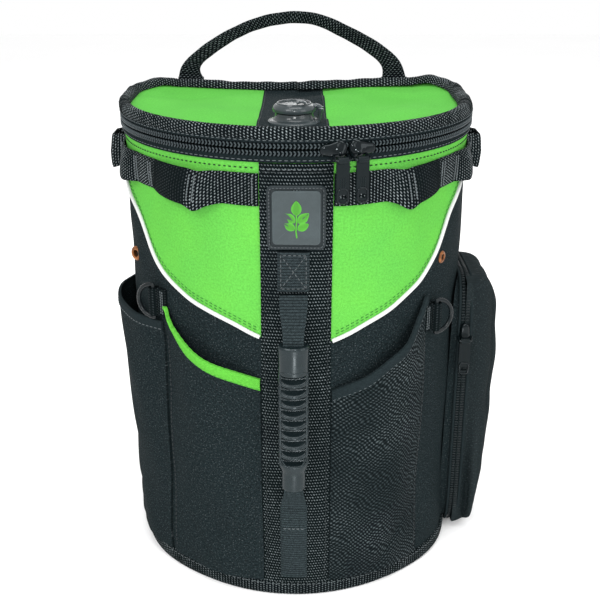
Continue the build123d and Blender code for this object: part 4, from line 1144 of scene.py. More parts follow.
def make_port():
    """Clear cord port: base, lugs, pin, and a cap with its tab and arm."""
    centre = (PORT[0], PORT[1], 0)
    flange = lathe("port_base", [(10.2, 376.7), (18.6, 376.7), (18.6, 377.7), (17.8, 378.5), (15.8, 378.9),
                                 (14.3, 380.0),
                                 (13.5, 381.8), (13.3, 383.5), (12.2, 383.7),
                                 (10.2, 383.6)], M["smoky"], centre)
    place(flange, "lid", "port_plastic", "port_flange")
    lugs = []
    for y in (-4.6, 4.6):
        s = np.linspace(0, 1, 8)
        path = grid(PORT[0] + 17.4 + 1.6 * s**0.6, PORT[1] + y, 377.6 + 9.4 * s)
        lugs.append(tube(path, 1.15 + 0.9 * smooth(s, 0.6, 1.0), sides=12, up=(0, 1, 0)))
    place(join("port_lugs", lugs, M["smoky"], 60), "lid", "port_plastic")
    keep_cad("port_hinge_pin", "smoky", 0.2)
    cap = lathe("port_lid", [(0.3, 384.0), (13.6, 384.0), (14.9, 384.6), (15.3, 386.0), (14.9, 387.9),
                             (13.6, 389.3),
                             (12.6, 389.8), (12.1, 390.8), (11.3, 390.8), (10.9, 389.7), (7.0, 389.9),
                             (0.3, 390.2)],
                M["smoky"], centre)
    place(cap, "port_cap", "port_plastic", "port_cap")
    s = np.linspace(-1, 1, 9)
    tab = grid(PORT[0] + 5.0 + 3.2 * s, PORT[1] - 9.5, 391.4 + 1.4 * (1 - s**2))
    parts = [tube(tab + (0, k, 0), 0.9, sides=8, up=(0, 0, 1)) for k in (-1.2, 0, 1.2)]
    place(join("port_tab", parts, M["smoky"], 60), "port_cap", "port_plastic")
    arm = np.array([(13.6, 0, 387.6), (15.6, 0, 388.4), (17.6, 0, 387.6), (19.0, 0, 386.2)]) + centre
    place(tube_object("port_arm", arm, 1.7, M["smoky"], sides=10, up=(0, 1, 0)), "port_cap", "port_plastic")


def make_lid_hinge():
    """Strip of cloth across the back between the wall and the lid."""
    x = spans(-84, 84, 3)[:, None]
    v = np.linspace(0, 1, 15)
    z = 366.0 + 13.0 * v + rear_wave(x) * smooth(v, 0.4, 1)
    y = 78.5 + 1.9 * smooth(v, 0.3, 1)
    strip = sheet("lid_hinge_cloth", grid(x, y + 0.7, z), grid(x, y, z), grid(x, z),
                  M["black"])
    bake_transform(strip)


# ---------------------------------------------------------------- gear bands

def band_out(t, tacks, crests, bulges):
    """How far a gear band stands off, between its tacks."""
    out = np.full(np.shape(t), 0.35)
    for a, b, crest, bulge in zip(tacks, tacks[1:], crests, bulges):
        share = (t - a) / (b - a)
        peak = np.minimum(np.clip(share / crest, 0, 1), np.clip((1 - share) / (1 - crest), 0, 1))
        rise = 1 - (1 - peak)**2 * (1 + 0.6 * peak)
        if bulge > 10:
            rise = smooth(peak, 0, 0.42)
        out = np.where((t >= a) & (t <= b), 0.35 + bulge * rise, out)
    return out


def make_gear_band(side):
    """Webbing sewn down at intervals, so that it stands off in loops."""
    sign = -1 if side == "left" else 1
    inner = 22.0 if side == "left" else 27.0
    tacks = (10.9, inner, 50.0, 60.0, 79.0, 88.0, 103.0)
    crests = (0.5, 0.29, 0.5, 0.4, 0.5, 0.5)
    bulges = (0.05, 9.6, 0.3, 7.6, 0.05, 12.8)
    t = np.unique(np.concatenate([spans(a, b, 0.22) for a, b in zip(tacks, tacks[1:])]))
    out = band_out(t, tacks, crests, bulges)
    along = np.r_[0, np.cumsum(np.hypot(np.diff(t) * 137 * PI / 180, np.diff(out)))]
    share = np.linspace(0, 1, 15)
    sag = 3.4 * np.clip(out / 9.0, 0, 1)**1.5
    fold = inner + 0.29 * (50 - inner)
    fold_dip = 3.6 * np.exp(-((t - fold + 0.6) / 2.6)**2) + 4.5 * (t > 88) * (out / 12.8)
    z = columns(BAND_LOW - 0.6 * sag - fold_dip, BAND_HIGH - 0.1 * sag - 0.3 * fold_dip, 15)
    edge = np.abs(2 * share - 1)
    curl = 0.9 * (out[:, None] / 9.0) * (edge[None, :] - 0.4)
    face = out[:, None] + 1.6 + ribs(along, 2.7, 0.34)[:, None] * (1 - edge**10) - 0.4 * edge**8 - curl
    lean = np.where(t < 85, 1.0, 0.0)[:, None] * (out[:, None] - 0.35) * (0.72 * share[None, :])**1.3
    outer = wall(sign * t[:, None], z, face - lean)
    under = wall(sign * t[:, None], z, out[:, None] - lean - 0.5 * curl)
    width = BAND_HIGH - BAND_LOW
    band = sheet(f"gear_webbing_{side}", outer, under, grid_uv(width * share, along), M["webbing"])
    place(band, "bag", "black_webbing", f"gear_band_{side}")
    # Painted shade: the part of the loop that turns away from the light gets the shaded webbing.
    band.data.materials.append(M["shaded_webbing"])
    low, high = np.interp((fold + 2.2, 47.5), t, along) * MM
    weave = band.data.attributes["weave"].data
    for face in band.data.polygons:
        face.material_index = int(low < weave[face.vertices[0]].vector.y < high)
    for tack in (12.6, fold - 0.9, fold + 0.9, 49.4, 51.0, 58.6, 60.2, 78.2, 79.8, 87.2, 89.0, 103.4):
        base = float(np.interp(tack, t, out))
        height = spans(BAND_LOW + 2, BAND_HIGH - 2, 1) - 0.5 * (base > 4)
        back = (base - 0.35) * (0.72 * (height - BAND_LOW) / width)**1.3 if tack < 85 else 0.0
        face = base + 2.1 - back
        sew_wall("bag", "grey_thread", sign * tack, height, face, length=1.5, gap=0.35, width=0.6)


# ---------------------------------------------------------------- pockets

EDGES = {
    "left": smooth_line(((-99, 236), (-94, 225), (-82, 216), (-66, 208), (-46, 201), (-20, 192)), 120)[0],
    "right": smooth_line(((20, 181), (50, 196), (68, 209), (81, 219), (92, 235), (98, 245)), 120)[0],
}


# Side, angle of the outer edge, cloth, its slot, binding and thread
POCKETS = {
    "left": (-1, 47.5, "black", "black_cloth", "green_binding", "green_thread"),
    "right": (1, 46.5, "ballistic", "mesh_cloth", "smooth_binding", "grey_thread"),
}


def pocket_out(t, z, ends, bulges, top, crest=0.5):
    """How far a pocket stands off the wall, with the soft dents in it."""
    share = (np.abs(t) - ends[0]) / (ends[1] - ends[0])
    bulge = bulges[0] + (bulges[1] - bulges[0]) * (np.clip(z, 14, top) - 14) / (top - 14)
    soft = 1.1 * np.sin(0.21 * t + 0.05 * z) * np.sin(0.045 * z + 0.7)
    middle = (ends[0] + ends[1]) / 2
    slope = (np.abs(t) - middle) * 2.3
    for spot, low, tilt, deep in ((-4, 55, 0.6, 1.5), (14, 42, -0.7, 1.3), (-20, 120, 0.25, 0.8)):
        across = (slope - spot + tilt * (z - low)) / 5.0
        soft = soft - deep * np.exp(-across**2) * np.exp(-((z - low) / 34.0)**2)
    return 0.35 + bump(share, crest, 2.0) * (bulge + 1.2 + soft)


def make_front_pocket(side):
    """Slip pocket with a binding along its curved mouth."""
    sign, end, material, slot, edging, colour = POCKETS[side]
    ends = (11.2, end)
    xs, zs = EDGES[side].T
    t = sign * spans(*ends, 0.62)
    off = lambda a, b: pocket_out(a, b, ends, (1.5, 9.0), 260)
    x = (wall_radius(215) + 4) * np.sin(np.radians(t))
    top = np.interp(x, xs, zs)
    width = 9.6 - 6.5 * smooth(-x, 78, 99) if side == "left" else np.full(len(x), 9.5)
    face = lambda a, b: off(a, b) + 1.5
    panel = wall_sheet(f"pocket_{side}", t, columns(POCKET_FOOT, top - 3.0, 64), face, 1.4, M[material])
    place(panel, "bag", slot, f"front_pocket_{side}")
    v = np.linspace(0, 1, 12)
    z = columns(top - width, top, 12)
    roll = 0.2 + 1.5 * np.sin(PI * v)**0.6 * (0.7 + 0.3 * v) - 0.5 * (1 - smooth(v, 0, 0.15))
    t2 = t[:, None]
    pucker = 0.18 * np.sin(t2 * 3.1) * smooth(v, 0.2, 0.6)
    face = off(t2, z) + 1.75 + roll + pucker
    binding = wall_sheet(f"pocket_{side}_binding", t, z, face, 2.0, M[edging])
    place(binding, "bag", edging, f"front_pocket_{side}_binding")
    line_z = top - width + 1.5
    sew_wall("bag", colour, t, line_z, off(t, line_z) + 2.3, width=0.34)
    seam, height = sign * (end - 1.2), np.linspace(20, 214, 60)
    sew_wall("bag", "black_thread", seam, height, off(seam, height) + 1.6)


def make_side_pocket():
    """Open pocket with a hem, round the left side."""
    ends = (49.5, 103.0)
    t = -spans(*ends, 0.9)
    off = lambda a, b: pocket_out(a, b, ends, (4.0, 12.4), 221, 0.52)
    z = np.linspace(POCKET_FOOT, 214.0, 52)
    pocket = wall_sheet("pocket_side", t, z, lambda a, b: off(a, b) + 1.5, 1.4, M["black"])
    place(pocket, "bag", "black_cloth", "side_pocket")
    v = np.linspace(0, 1, 9)
    z = 212.6 + 8.6 * v
    t2 = t[:, None]
    roll = 0.7 * (1 - smooth(v, 0.8, 1)) - 0.4 * (1 - smooth(v, 0, 0.15))
    hem = wall_sheet("pocket_side_hem", t, z, off(t2, z) + 1.7 + roll, 2.0, M["smooth_binding"])
    place(hem, "bag", "black_cloth", "side_pocket_hem")
    sew_wall("bag", "grey_thread", t, 214.4, off(t, 214.4) + 2.3, width=0.34)


# ---------------------------------------------------------------- zipped pouch

POUCH_Y, POUCH_Z = (-46.0, 36.0), (4.0, 239.0)
POUCH_MIDDLE = np.array((sum(POUCH_Y) / 2, sum(POUCH_Z) / 2))
SPLIT = 138.5
SLIDER_Z = 192.0


def pouch_lean(y, z, high):
    """The full part of the pouch's foot sags forward past its zip, most at its front edge."""
    return y - 12.5 * smooth(high, 9, 17) * (1 - smooth(z, 0, 130)) * np.clip((36 - y) / 82, 0, 1)


def pouch_rim(count, inset=0.0):
    """Rounded rectangle of the pouch in y, z, from the middle of its foot round by the front."""
    half_y, half_z = (POUCH_Y[1] - POUCH_Y[0]) / 2 - inset, (POUCH_Z[1] - POUCH_Z[0]) / 2 - inset
    a = np.linspace(-PI / 2, 1.5 * PI, count, endpoint=False)
    power = 0.32
    y = np.sign(np.cos(a)) * np.abs(np.cos(a))**power * -half_y
    z = np.sign(np.sin(a)) * np.abs(np.sin(a))**power * half_z
    loop = grid(y, z) + POUCH_MIDDLE
    closed = np.vstack([loop, loop[:1]])
    run = run_along(closed)
    at = np.linspace(0, run[-1], count, endpoint=False)
    return at_run(at, run, closed), at


def wall_x(y, z):
    """How far out the bag's right side lies at y, z."""
    r = wall_radius(z)
    past = np.clip(y - STRAIGHT, 0, CORNER)
    return np.where(y < 0, np.sqrt(np.clip(r**2 - y**2, 0, None)),
                    r - CORNER + np.sqrt(CORNER**2 - past**2))


def make_pouch():
    """Side wall and full front of the zipped pouch."""
    loop, at = pouch_rim(200)
    centre = POUCH_MIDDLE
    share = np.linspace(0, 1, 9)
    start = wall_x(loop[:, 0], loop[:, 1]) + 1.0 + 1.8 * (loop[:, 1] < 16)
    x = start[:, None] + (SPLIT - 0.2 - start)[:, None] * share
    swell = 1 - 0.010 * np.sin(PI * share)
    yz = centre + (loop - centre)[:, None, :] * swell[None, :, None]
    outer = np.concatenate([x[..., None], yz], -1)
    inset = centre + (yz - centre) * np.array((1 - 1.7 / 41, 1 - 1.7 / 119))
    inset[..., 1] = np.maximum(inset[..., 1], POUCH_Z[0] + 1.2)
    inner = np.concatenate([x[..., None], inset], -1)
    uv = grid(x, at[:, None])
    place(sheet("pouch_side", outer, inner, uv, M["black"], wrap=True), "bag", "black_cloth",
          "pouch_gusset")
    grid_y, grid_z = np.sin(np.linspace(-PI / 2, PI / 2, 46)), np.sin(np.linspace(-PI / 2, PI / 2, 88))
    v, u = np.meshgrid(grid_z, grid_y, indexing="ij")
    rim_u = u * np.sqrt(np.clip(1 - np.abs(v)**5 * 0.10, 0, 1))
    rim_v = v * np.sqrt(np.clip(1 - np.abs(u)**5 * 0.05, 0, 1))
    half_z = (POUCH_Z[1] - POUCH_Z[0]) / 2
    z = centre[1] + half_z * rim_v
    full = np.interp(z, (4, 60, 140, 205, 239), (18.0, 25.5, 27.5, 25.5, 24.5))
    sharp = 5.5 + 11 * smooth(v, 0.45, 0.85) * (u > 0)
    body = (1 - np.abs(u)**sharp)**0.38 * (1 - np.abs(v)**18)**0.32
    fold = 4.0 * np.exp(-((u + 0.52 + 0.10 * v)**2) / 0.008) * smooth(v, -0.75,
                                                                      0.0) * (1 - smooth(v, 0.75, 0.98))
    fold -= 5.6 * np.exp(-((u + 0.26 + 0.12 * v)**2) / 0.014) * smooth(v, -0.7,
                                                                       0.1) * (1 - smooth(v, 0.8, 1.0))
    fold -= 2.6 * np.exp(-((u - 0.30 - 0.10 * v)**2) / 0.03) * smooth(v, -0.9, 0.0)
    fold -= 3.4 * np.exp(-((u + 0.6 - 0.5 * (v + 0.6))**2) / 0.012) * np.exp(-((v + 0.62) / 0.16)**2)
    fold += 0.9 * np.sin(7 * v + 3 * u) * (1 - v**2) + 0.7 * np.sin(13 * v - 5 * u) * (1 - v**2)
    high = np.clip(full * body + fold * body, 0, 31.5)
    side_y = pouch_lean(centre[0] + 41 * rim_u, z, high)
    outer = grid(SPLIT + 0.25 + high, side_y, z)
    inner_z = centre[1] + (half_z - 1.7) * rim_v
    inner_y = pouch_lean(centre[0] + 39.3 * rim_u, inner_z, high)
    inner = grid(SPLIT + 0.25 + np.clip(high - 1.7, 0, None), inner_y, inner_z)
    across = np.linalg.norm(np.diff(outer, axis=1), axis=2)
    across = np.hstack([np.zeros((len(z), 1)), np.cumsum(across, axis=1)])
    uv = grid(across - across[:, -1:] / 2, z)
    cover = sheet("pouch_front", outer, inner, uv, M["pouch"], angle=60)
    place(cover, "pouch_cover", "black_cloth", "pouch_cover")


def make_pouch_zip():
    """Zip round the front, top and foot of the pouch, and its welts."""
    centre = POUCH_MIDDLE
    loop, at = pouch_rim(420, -0.9)
    for name, x, body, node in (("pouch_teeth_in", SPLIT - 1.9, "bag", "pouch_coil_inner"),
                                ("pouch_teeth_out", SPLIT + 1.9, "pouch_cover", "pouch_coil_outer")):
        parts = []
        for s in np.arange(30, at[-1] - 40, 2.4):
            y, z = at_run(s, at, loop)
            if y > 33 or (abs(z - SLIDER_Z) < 11 and y < 0):
                continue
            away = np.array((0, y - centre[0], (z - centre[1]) * 0.34))
            away /= np.linalg.norm(away)
            line = np.array([(x - 1.3, y, z), (x, y, z), (x + 1.3, y, z)])
            line[:, 1:] += np.outer([0.3, 0.55, 0.3], away[1:])
            parts.append(tube(line, np.array([0.35, 0.6, 0.35]), sides=6, up=away))
        place(join(name, parts, M["dark_coil"], 60), body, "zip_coil", node)
    for name, x, body in (("pouch_welt_in", SPLIT - 4.6, "bag"),
                          ("pouch_welt_out", SPLIT + 5.0, "pouch_cover")):
        path = grid(x, *loop.T)
        if body == "pouch_cover":
            path[:, 1:] = centre + (path[:, 1:] - centre) * np.array((0.985, 0.995))
        welt = tube_object(name, path, 1.25, M["smooth_binding"], sides=8, up=(1, 0, 0), close=True)
        place(welt, body, "smooth_binding")


def make_pouch_slider():
    """Slider body with its bail, and the ring at the foot of its pull."""
    face = POUCH_Y[0] - 1.7
    s = np.linspace(-9.5, 9.5, 33)
    cross = np.linspace(-1, 1, 15)
    half, dome = slider_form(s, cross, 4.9 * (0.82 + 0.18 * smooth(-s, -5, 5)), 2.2, 3)
    x = SPLIT + half[:, None] * cross
    z = SLIDER_Z + s[:, None]
    dome = dome + 1.3 * np.exp(-((x - SPLIT)**2 + (z - SLIDER_Z + 3)**2) / 14)
    outer, inner = grid(x, face - dome, z), grid(x, face + 0.1, z)
    slider = sheet("pouch_slider_body", outer, inner, np.zeros(x.shape + (2,)), M["gloss"], angle=55)
    place(slider, "pouch_slider", "slider_metal", "pouch_slider")
    pin = face - 5.2
    arm = [(-5.1, face - 0.5, 190), (-5.1, pin + 1.6, 189), (-4.9, pin + 0.3, 188.2), (-4.2, pin, 188),
           (0, pin, 188)]
    arm += [(-x, y, z) for x, y, z in arm[-2::-1]]
    bail = tube_object("pouch_slider_bail", np.array(arm) + (SPLIT, 0, 0), 0.98, M["gloss"], sides=12)
    place(bail, "pouch_slider", "slider_metal")
    loop = rounded_loop(3.5, 5.0, 2.6, 8)
    foot = grid(SPLIT + loop[:, 0], pin - 0.95, 163.9 + loop[:, 1])
    ring = tube_object("pouch_pull_foot", foot, 0.75, M["gloss"], sides=8, up=(0, 1, 0), close=True)
    place(ring, "pouch_pull", "pull_metal")


# ---------------------------------------------------------------- rings, eyelets, handles

def make_ring_tab(side, angle, z0):
    """Webbing looped round a D-ring's straight side, and sewn down."""
    sign = -1 if side == "left" else 1
    a = math.radians(angle)
    out, along = np.array((math.sin(a), -math.cos(a))), sign * np.array((math.cos(a), math.sin(a)))
    r0 = wall_radius(z0)
    centre = out * (r0 + 5.2)
    turn = np.linspace(-0.25 * PI, 1.18 * PI, 18)
    wrap = [centre + 3.0 * (along * math.cos(k) + out * math.sin(k)) for k in turn]
    foot = [out * (r0 + 2.0) - along * 5.0, out * (r0 + 1.2) - along * 11.0]
    tail = [out * (r0 + 0.9) + along * 0.5, out * (r0 + 0.6) - along * 6.0, out * (r0 + 0.5) - along * 11.0]
    path = np.array(tail[::-1] + wrap + foot)
    line, run = resample(grid(*path.T, 0.0), 0.45)
    ahead = np.gradient(line[:, :2], axis=0)
    ahead /= np.linalg.norm(ahead, axis=1)[:, None]
    normal = grid(ahead[:, 1], -ahead[:, 0]) * -sign
    heights = np.linspace(-11, 11, 12)
    thick = 0.75 + ribs(run, 2.4, 0.22)
    faces = []
    for off in (thick, np.full(len(line), -0.4)):
        x, y = (line[:, :2] + normal * off[:, None]).T[..., None]
        faces.append(grid(x, y, z0 + heights))
    # Painted shade: the tab takes the shaded webbing, so it reads darker as if in shadow.
    tab = sheet(f"ring_tab_{side}", *faces, grid_uv(heights, run), M["shaded_webbing"])
    place(tab, "bag", "black_webbing", f"d_ring_{side}_tab")
    for off in (6.0, 8.5):
        height = spans(z0 - 9.5, z0 + 9.5, 1)
        spot = out * (r0 + 2.6) - along * off
        path = grid(*spot, height)
        sew("bag", "grey_thread", path, (*out, 0), length=1.6, gap=0.5, width=0.5)


def make_eyelet(side, angle, z):
    """Brass eyelet through the wall; the left one tilts with the cloth round it."""
    a = math.radians(angle)
    out = np.array((math.sin(a), -math.cos(a), 0))
    centre = out * (wall_radius(z) + (0.6 if side == "left" else 0)) + np.array((0, 0, z))
    if side == "left":
        a = math.radians(angle + 30)
        out = np.array((math.sin(a), -math.cos(a), 0.06))
    profile = np.array([(2.7, -5.9), (2.65, 0.2), (2.9, 1.0), (3.5, 1.35), (4.4, 1.3), (5.3, 0.9),
                        (5.8, 0.35), (5.7, -0.9), (3.4, -0.9), (3.4, -5.2), (5.6, -5.2), (5.6, -5.8),
                        (4.2, -6.2)])
    profile[:, 0] *= 1.0 if side == "left" else 0.84
    grommet = lathe(f"grommet_{side}", profile, M["brass"], centre, out)
    place(grommet, "bag", "eyelet_brass", f"eyelet_{side}")


HANDLE_OUTER = ((-105, 378), (-99, 394), (-76, 413), (-40, 431), (-8, 437.8), (14, 437), (36, 430),
                (68, 414), (90, 397), (98, 378))
HANDLE_INNER = ((-81, 378), (-84, 391), (-66, 406), (-38, 421), (-8, 427.5), (12, 427), (28, 421.5),
                (54, 408), (74, 393), (76, 378))


HANDLE_Y = 83.85


def make_top_handle():
    """Handle of webbing folded round a cord, between its outer and inner edges."""
    outer, run = smooth_line(HANDLE_OUTER, 560)
    inner, _ = smooth_line(HANDLE_INNER, 560)
    middle, half = (outer + inner) / 2, (outer - inner) / 2
    around = np.linspace(0, 2 * PI, 20, endpoint=False)
    across = np.sign(np.cos(around)) * np.abs(np.cos(around))**0.6
    depth = np.sign(np.sin(around)) * np.abs(np.sin(around))**0.6
    ridge = ribs(run, 2.7, 0.32)[:, None] - 0.25
    lumps = 0.25 * np.sin(run * 0.13) + 0.2 * np.sin(run * 0.31 + 1)
    x = middle[:, :1] + half[:, :1] * across
    z = middle[:, 1:] + half[:, 1:] * across + lumps[:, None] * (np.abs(across) > 0.8) * 0.5
    y = HANDLE_Y + (1.95 + ridge) * depth
    width = np.linalg.norm(half, axis=1)[:, None] * across
    weave = grid(width, run[:, None])
    handle = ring_mesh("carry_handle", grid(x, y, z), M["fine_webbing"], weave, 60)
    place(handle, "top_handle", "black_webbing", "top_handle")
    seam_x, seam_height = (middle + 0.62 * half)[20:-20].T
    seam = grid(seam_x, HANDLE_Y - 2.0, seam_height)
    sew("top_handle", "black_thread", seam, (0, -1, 0), width=0.34)
    make_handle_anchors()


def make_handle_anchors():
    """Webbing sewn to the back at each end of the handle, and the cloth that runs from each up to the
    handle.
    """
    for x in (-93, 86.5):
        xs, zs = spans(x - 11.3, x + 11.3, 1.4), spans(349, 375, 0.5)
        x2, z2 = np.meshgrid(xs, zs, indexing="ij")
        edge = np.abs(2 * (xs - x) / 22.6)[:, None]
        y2 = 80.2 + ribs(z2, 2.7, 0.3) * (1 - edge**10) - 0.5 * edge**8
        side = "left" if x < 0 else "right"
        outer, inner = grid(x2, y2, z2), grid(x2, 78.35, z2)
        anchor = sheet(f"handle_anchor_{side}", outer, inner, grid(x2, z2), M["webbing"])
        place(anchor, "bag", "black_webbing", "top_handle_anchors")
        for box_x, box_z in crossed_box(x - 9, x + 9, 352, 370):
            line = grid(box_x, 80.55, box_z)
            sew("bag", "grey_thread", line, (0, 1, 0))
        v = np.linspace(0, 1, 16)
        x2, y2, z2 = np.broadcast_arrays(xs[:, None], 79.4 + 4.4 * smooth(v, 0.1, 0.8), 374.0 + 8.0 * v)
        outer, inner = grid(x2, y2 + 0.8, z2), grid(x2, y2 - 0.8, z2)
        link = sheet(f"handle_link_{side}", outer, inner, grid(x2, z2), M["webbing"])
        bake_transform(link)


# ---------------------------------------------------------------- back: pad, straps, buckles

def puff(obj, pressure, frames, cap):
    """Inflates a closed piece with cloth simulation; no point moves further than cap metres."""
    remesh = obj.modifiers.new("remesh", "REMESH")
    remesh.mode = "VOXEL"
    remesh.voxel_size = 0.005
    apply_modifiers(obj)
    rest = np.empty(len(obj.data.vertices) * 3, np.float32)
    obj.data.vertices.foreach_get("co", rest)
    sim = obj.modifiers.new("cloth", "CLOTH")
    sim.settings.quality = 5
    sim.settings.use_pressure = True
    sim.settings.uniform_pressure_force = pressure
    sim.settings.effector_weights.gravity = 0
    sim.point_cache.frame_start, sim.point_cache.frame_end = 1, frames
    scene = bpy.context.scene
    for step in range(1, frames + 1):
        scene.frame_set(step)
    apply_modifiers(obj)
    scene.frame_set(1)
    moved = np.empty_like(rest)
    obj.data.vertices.foreach_get("co", moved)
    shift = (moved - rest).reshape(-1, 3)
    length = np.linalg.norm(shift, axis=1)[:, None] + 1e-9
    held = rest.reshape(-1, 3) + shift * np.minimum(1, cap / length)
    obj.data.vertices.foreach_set("co", held.astype(np.float32).ravel())
    obj.data.update()
    obj.modifiers.new("smooth", "SUBSURF").levels = 1
    apply_modifiers(obj)


def apply_modifiers(obj):
    """Makes the modifiers' result the mesh itself."""
    graph = bpy.context.evaluated_depsgraph_get()
    mesh = bpy.data.meshes.new_from_object(obj.evaluated_get(graph), depsgraph=graph)
    obj.modifiers.clear()
    obj.data = mesh


def pad_block(name, half_x, half_z, corner, deep, to_frame, material):
    """Crowned closed pad, thin at its edge; to_frame takes local x, z and height to the row frame."""
    steps = [(0.6, 0.3), (0, 0.32), (0, 0.5), (1.5, 0.75), (4, 0.92),
             *((inset, 1.0) for inset in (9, 16, 26, 40))]
    steps = [(inset, height) for inset, height in steps if inset < min(half_x, half_z) - 2]
    rings = []
    for inset, height in [(i, 0.0) for i, _ in reversed(steps)] + steps:
        loop = rounded_loop(half_x - inset, half_z - inset, max(corner - inset, 0.8), 10)
        rings.append(to_frame(loop[:, 0], loop[:, 1], np.full(len(loop), height * deep)))
    return ring_mesh(name, rings, material, angle=60)


STRAP_LINE = ((0.6, 0), (13, 34), (23, 90), (24, 150), (18, 205))


def strap_frame(side):
    """Origin and directions of a shoulder strap: across, back and down."""
    sign = -1 if side == "left" else 1
    tilt = math.radians(8.5)
    down = np.array((sign * math.sin(tilt), 0, -math.cos(tilt)))
    across = np.array((math.cos(tilt), 0, sign * math.sin(tilt)))
    return np.array((sign * 58.0, 78.0, 340.0)), across, np.array((0, 1.0, 0)), down


def make_back_pad():
    """Padded cushion on the back, with its binding."""
    pad = pad_block("back_cushion", 73.5, 104.5, 25, 8.0,
                    lambda x, z, h: grid(x, 78.6 + h, 172 + z), M["pad"])
    puff(pad, 3.0, 18, 0.004)
    place(pad, "bag", "pad_mesh", "back_pad")
    loop = rounded_loop(73.0, 104.0, 25, 16)
    rim = grid(loop[:, 0], 80.0, 172 + loop[:, 1])
    binding = tube_object("back_pad_binding", rim, 1.7, M["smooth_binding"], sides=10, up=(0, 1, 0),
                          close=True)
    place(binding, "bag", "smooth_binding")


def make_shoulder_strap(side):
    """Padded strap with its binding and buckle."""
    line, _ = smooth_line(STRAP_LINE, 60)
    origin, across, back, down = strap_frame(side)
    total = line[-1, 1]

    def to_frame(x, z, h):
        along = total / 2 - z
        lift = np.interp(along, line[:, 1], line[:, 0])
        return origin + x[:, None] * across + (lift + 0.6 + h)[:, None] * back + along[:, None] * down

    strap = pad_block(f"shoulder_pad_{side}", 28, total / 2 - 0.5, 14, 6.8, to_frame, M["pad"])
    puff(strap, 2.6, 16, 0.0025)
    place(strap, "bag", "pad_mesh", f"shoulder_strap_{side}")
    loop = rounded_loop(27.6, total / 2 - 0.9, 14, 16)
    rim = to_frame(loop[:, 0], loop[:, 1], np.full(len(loop), 3.0))
    binding = tube_object(f"shoulder_binding_{side}", rim, 1.5, M["smooth_binding"], sides=8, up=(0, 1, 0),
                          close=True)
    place(binding, "bag", "smooth_binding")
    keep_cad(f"ladder_lock_{side}", "buckle", 0.8)


def make_lower_strap(side):
    """Webbing that runs down from a buckle to the foot of the back."""
    origin, across, back, down = strap_frame(side)
    path = np.array([(18.5, 225), (18.5, 245), (18.0, 262), (9.5, 285), (2.2, 304), (1.9, 321)])
    curve, along = smooth_line(path, 220)
    slope = np.gradient(curve, axis=0)
    slope /= np.linalg.norm(slope, axis=1)[:, None]
    normal = grid(slope[:, 1], -slope[:, 0])
    xs = spans(-12.4, 12.4, 1.5)
    edge = np.abs(xs / 12.4)
    faces = []
    ribbed = 0.8 + ribs(along, 2.6, 0.25)[:, None] * (1 - edge**10) - 0.3 * edge**8
    for off in (ribbed, np.full(ribbed.shape, -0.8)):
        point = curve[:, None, :] + normal[:, None, :] * off[..., None]
        out, low = point[..., :1], point[..., 1:]
        faces.append(origin + xs[None, :, None] * across + out * back + low * down)
    strap = sheet(f"lower_strap_{side}", *faces, grid_uv(xs, along), M["webbing"])
    place(strap, "bag", "black_webbing", f"strap_webbing_{side}")


def make_side_tab():
    """Short webbing tab at the left rear seam."""
    x = np.linspace(0, 1, 60)
    tab_x, tab_z = -134.9 - 21.6 * x, 158 - 15.6 * x + 1.6 * np.sin(PI * x)
    y = spans(32, 52, 1.6)
    thick = 0.7 + ribs(26 * x, 2.6, 0.25)
    faces = [grid(tab_x[:, None], y, z[:, None]) for z in (tab_z + thick, tab_z - 0.7)]
    tab = sheet("side_loop", *faces, grid_uv(y, 26 * x), M["webbing"])
    place(tab, "bag", "black_webbing", "side_tab")


def make_stitches():
    """One mesh for each body's stitches of each colour."""
    for (body, colour), parts in STITCHES.items():
        slot = "green_cloth" if colour in ("green_thread", "dark_thread") else "black_webbing"
        place(join(f"stitches_{body}_{colour}", parts, M[colour], 60), body, slot)


# ---------------------------------------------------------------- camera, light and floor

CAMERA_PLACE, CAMERA_DIP = (0, -0.7518, 0.5077), 20.34
LENS, SHIFT = 56.1, (0.0062, -0.047)
MIDDLE = (0, -0.02, 0.2)
# Each light's place, target, size and power
LIGHTS = {
    "key": ((-0.9, -1.5, 1.5), MIDDLE, (0.9, 0.9), 17),
    "fill": ((1.4, -1.2, 0.9), MIDDLE, (1.0, 1.0), 9),
    "top": ((0.1, -0.3, 1.6), MIDDLE, (0.9, 0.6), 9),
    "back": ((0.2, 1.6, 1.2), MIDDLE, (1.6, 1.0), 12),
    "front": ((0.04, -0.86, 0.62), MIDDLE, (0.11, 0.11), 1.9),
    "low": ((0.02, -0.42, 0.04), (0, -0.15, 0.25), (0.03, 0.1), 0.25),
}


def make_camera():
    """The camera stands in front of the bag and looks down on it."""
    camera = bpy.data.objects.new("camera", bpy.data.cameras.new("camera"))
    bpy.context.scene.collection.objects.link(camera)
    camera.location = CAMERA_PLACE
    camera.rotation_euler = (math.radians(90 - CAMERA_DIP), 0, 0)
    camera.data.lens = LENS
    camera.data.sensor_width = 36
    camera.data.shift_x, camera.data.shift_y = SHIFT
    bpy.context.scene.camera = camera


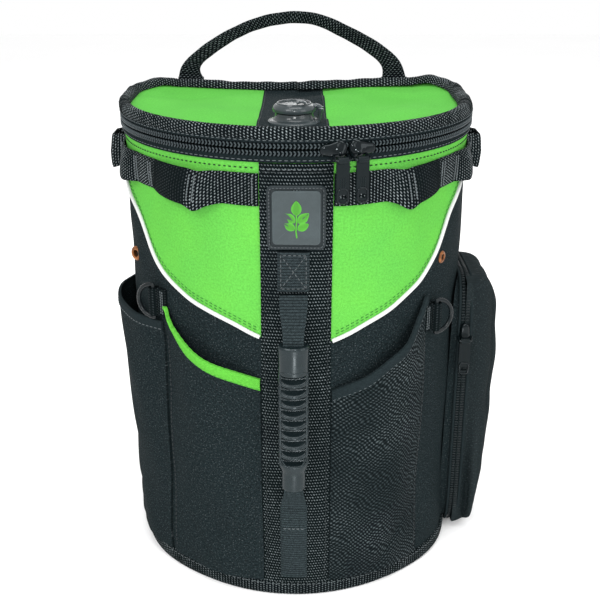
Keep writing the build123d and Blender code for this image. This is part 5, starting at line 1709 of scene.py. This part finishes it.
def area_light(name, location, target, size, energy):
    """Rectangular light aimed at a target."""
    lamp = bpy.data.objects.new(name, bpy.data.lights.new(name, "AREA"))
    lamp.data.shape = "RECTANGLE"
    lamp.data.size, lamp.data.size_y = size
    lamp.data.energy = energy

    lamp.location = location
    aim = Vector(target) - Vector(location)
    lamp.rotation_euler = aim.to_track_quat("-Z", "Y").to_euler()
    bpy.context.scene.collection.objects.link(lamp)


def make_studio():
    """White floor and world, and the lights."""
    floor = bpy.data.meshes.new("floor")
    floor.from_pydata([(-4, -4, 0), (4, -4, 0), (4, 4, 0), (-4, 4, 0)], [], [(0, 1, 2, 3)])
    tree = Tree("floor_paint", Roughness=0.9)
    tint = tree.noise(tree.object_place(), 3.0, 2.0)
    tree.finish(tree.mix(tint, rgb(0.95, 0.95, 0.95), rgb(0.98, 0.98, 0.98)), tint, 0.02, 0.001)
    floor.materials.append(tree.material)
    ground = bpy.data.objects.new("floor", floor)
    bpy.context.scene.collection.objects.link(ground)
    world = bpy.data.worlds.new("studio")
    world.use_nodes = True
    world.node_tree.nodes["Background"].inputs[0].default_value = rgb(1.0, 1.0, 1.0)
    world.node_tree.nodes["Background"].inputs[1].default_value = 1.0
    bpy.context.scene.world = world
    for name, settings in LIGHTS.items():
        area_light(name, *settings)
    bpy.context.scene.view_settings.view_transform = "Standard"


make_camera()
make_studio()
make_front_walls()
make_back_wall()
make_lining()
keep_cad("base_board", "board")
make_base_binding()
make_piping()
make_spine()
make_label()
make_handle_patches()
make_grip()
make_grip_straps()
make_zip()
make_slider("left", 10.2, 12.0, 1)
make_slider("right", 18.4, 17.3, -1)
for cad_pull in ("pull_left", "pull_right", "pouch_pull"):
    keep_cad(cad_pull, "pull", 0.4)
make_lid()
make_port()
make_lid_hinge()
for band_side in ("left", "right"):
    make_gear_band(band_side)
    make_front_pocket(band_side)
make_side_pocket()
make_pouch()
make_pouch_zip()
make_pouch_slider()
make_ring_tab("left", -51, 238)
make_ring_tab("right", 50, 226)
keep_cad("d_ring_left", "ring", 0.1)
keep_cad("d_ring_right", "ring", 0.1)
make_eyelet("left", -69, 263)
make_eyelet("right", 55, 270)
make_top_handle()
make_back_pad()
for strap_side in ("left", "right"):
    make_shoulder_strap(strap_side)
    make_lower_strap(strap_side)
make_side_tab()
make_stitches()
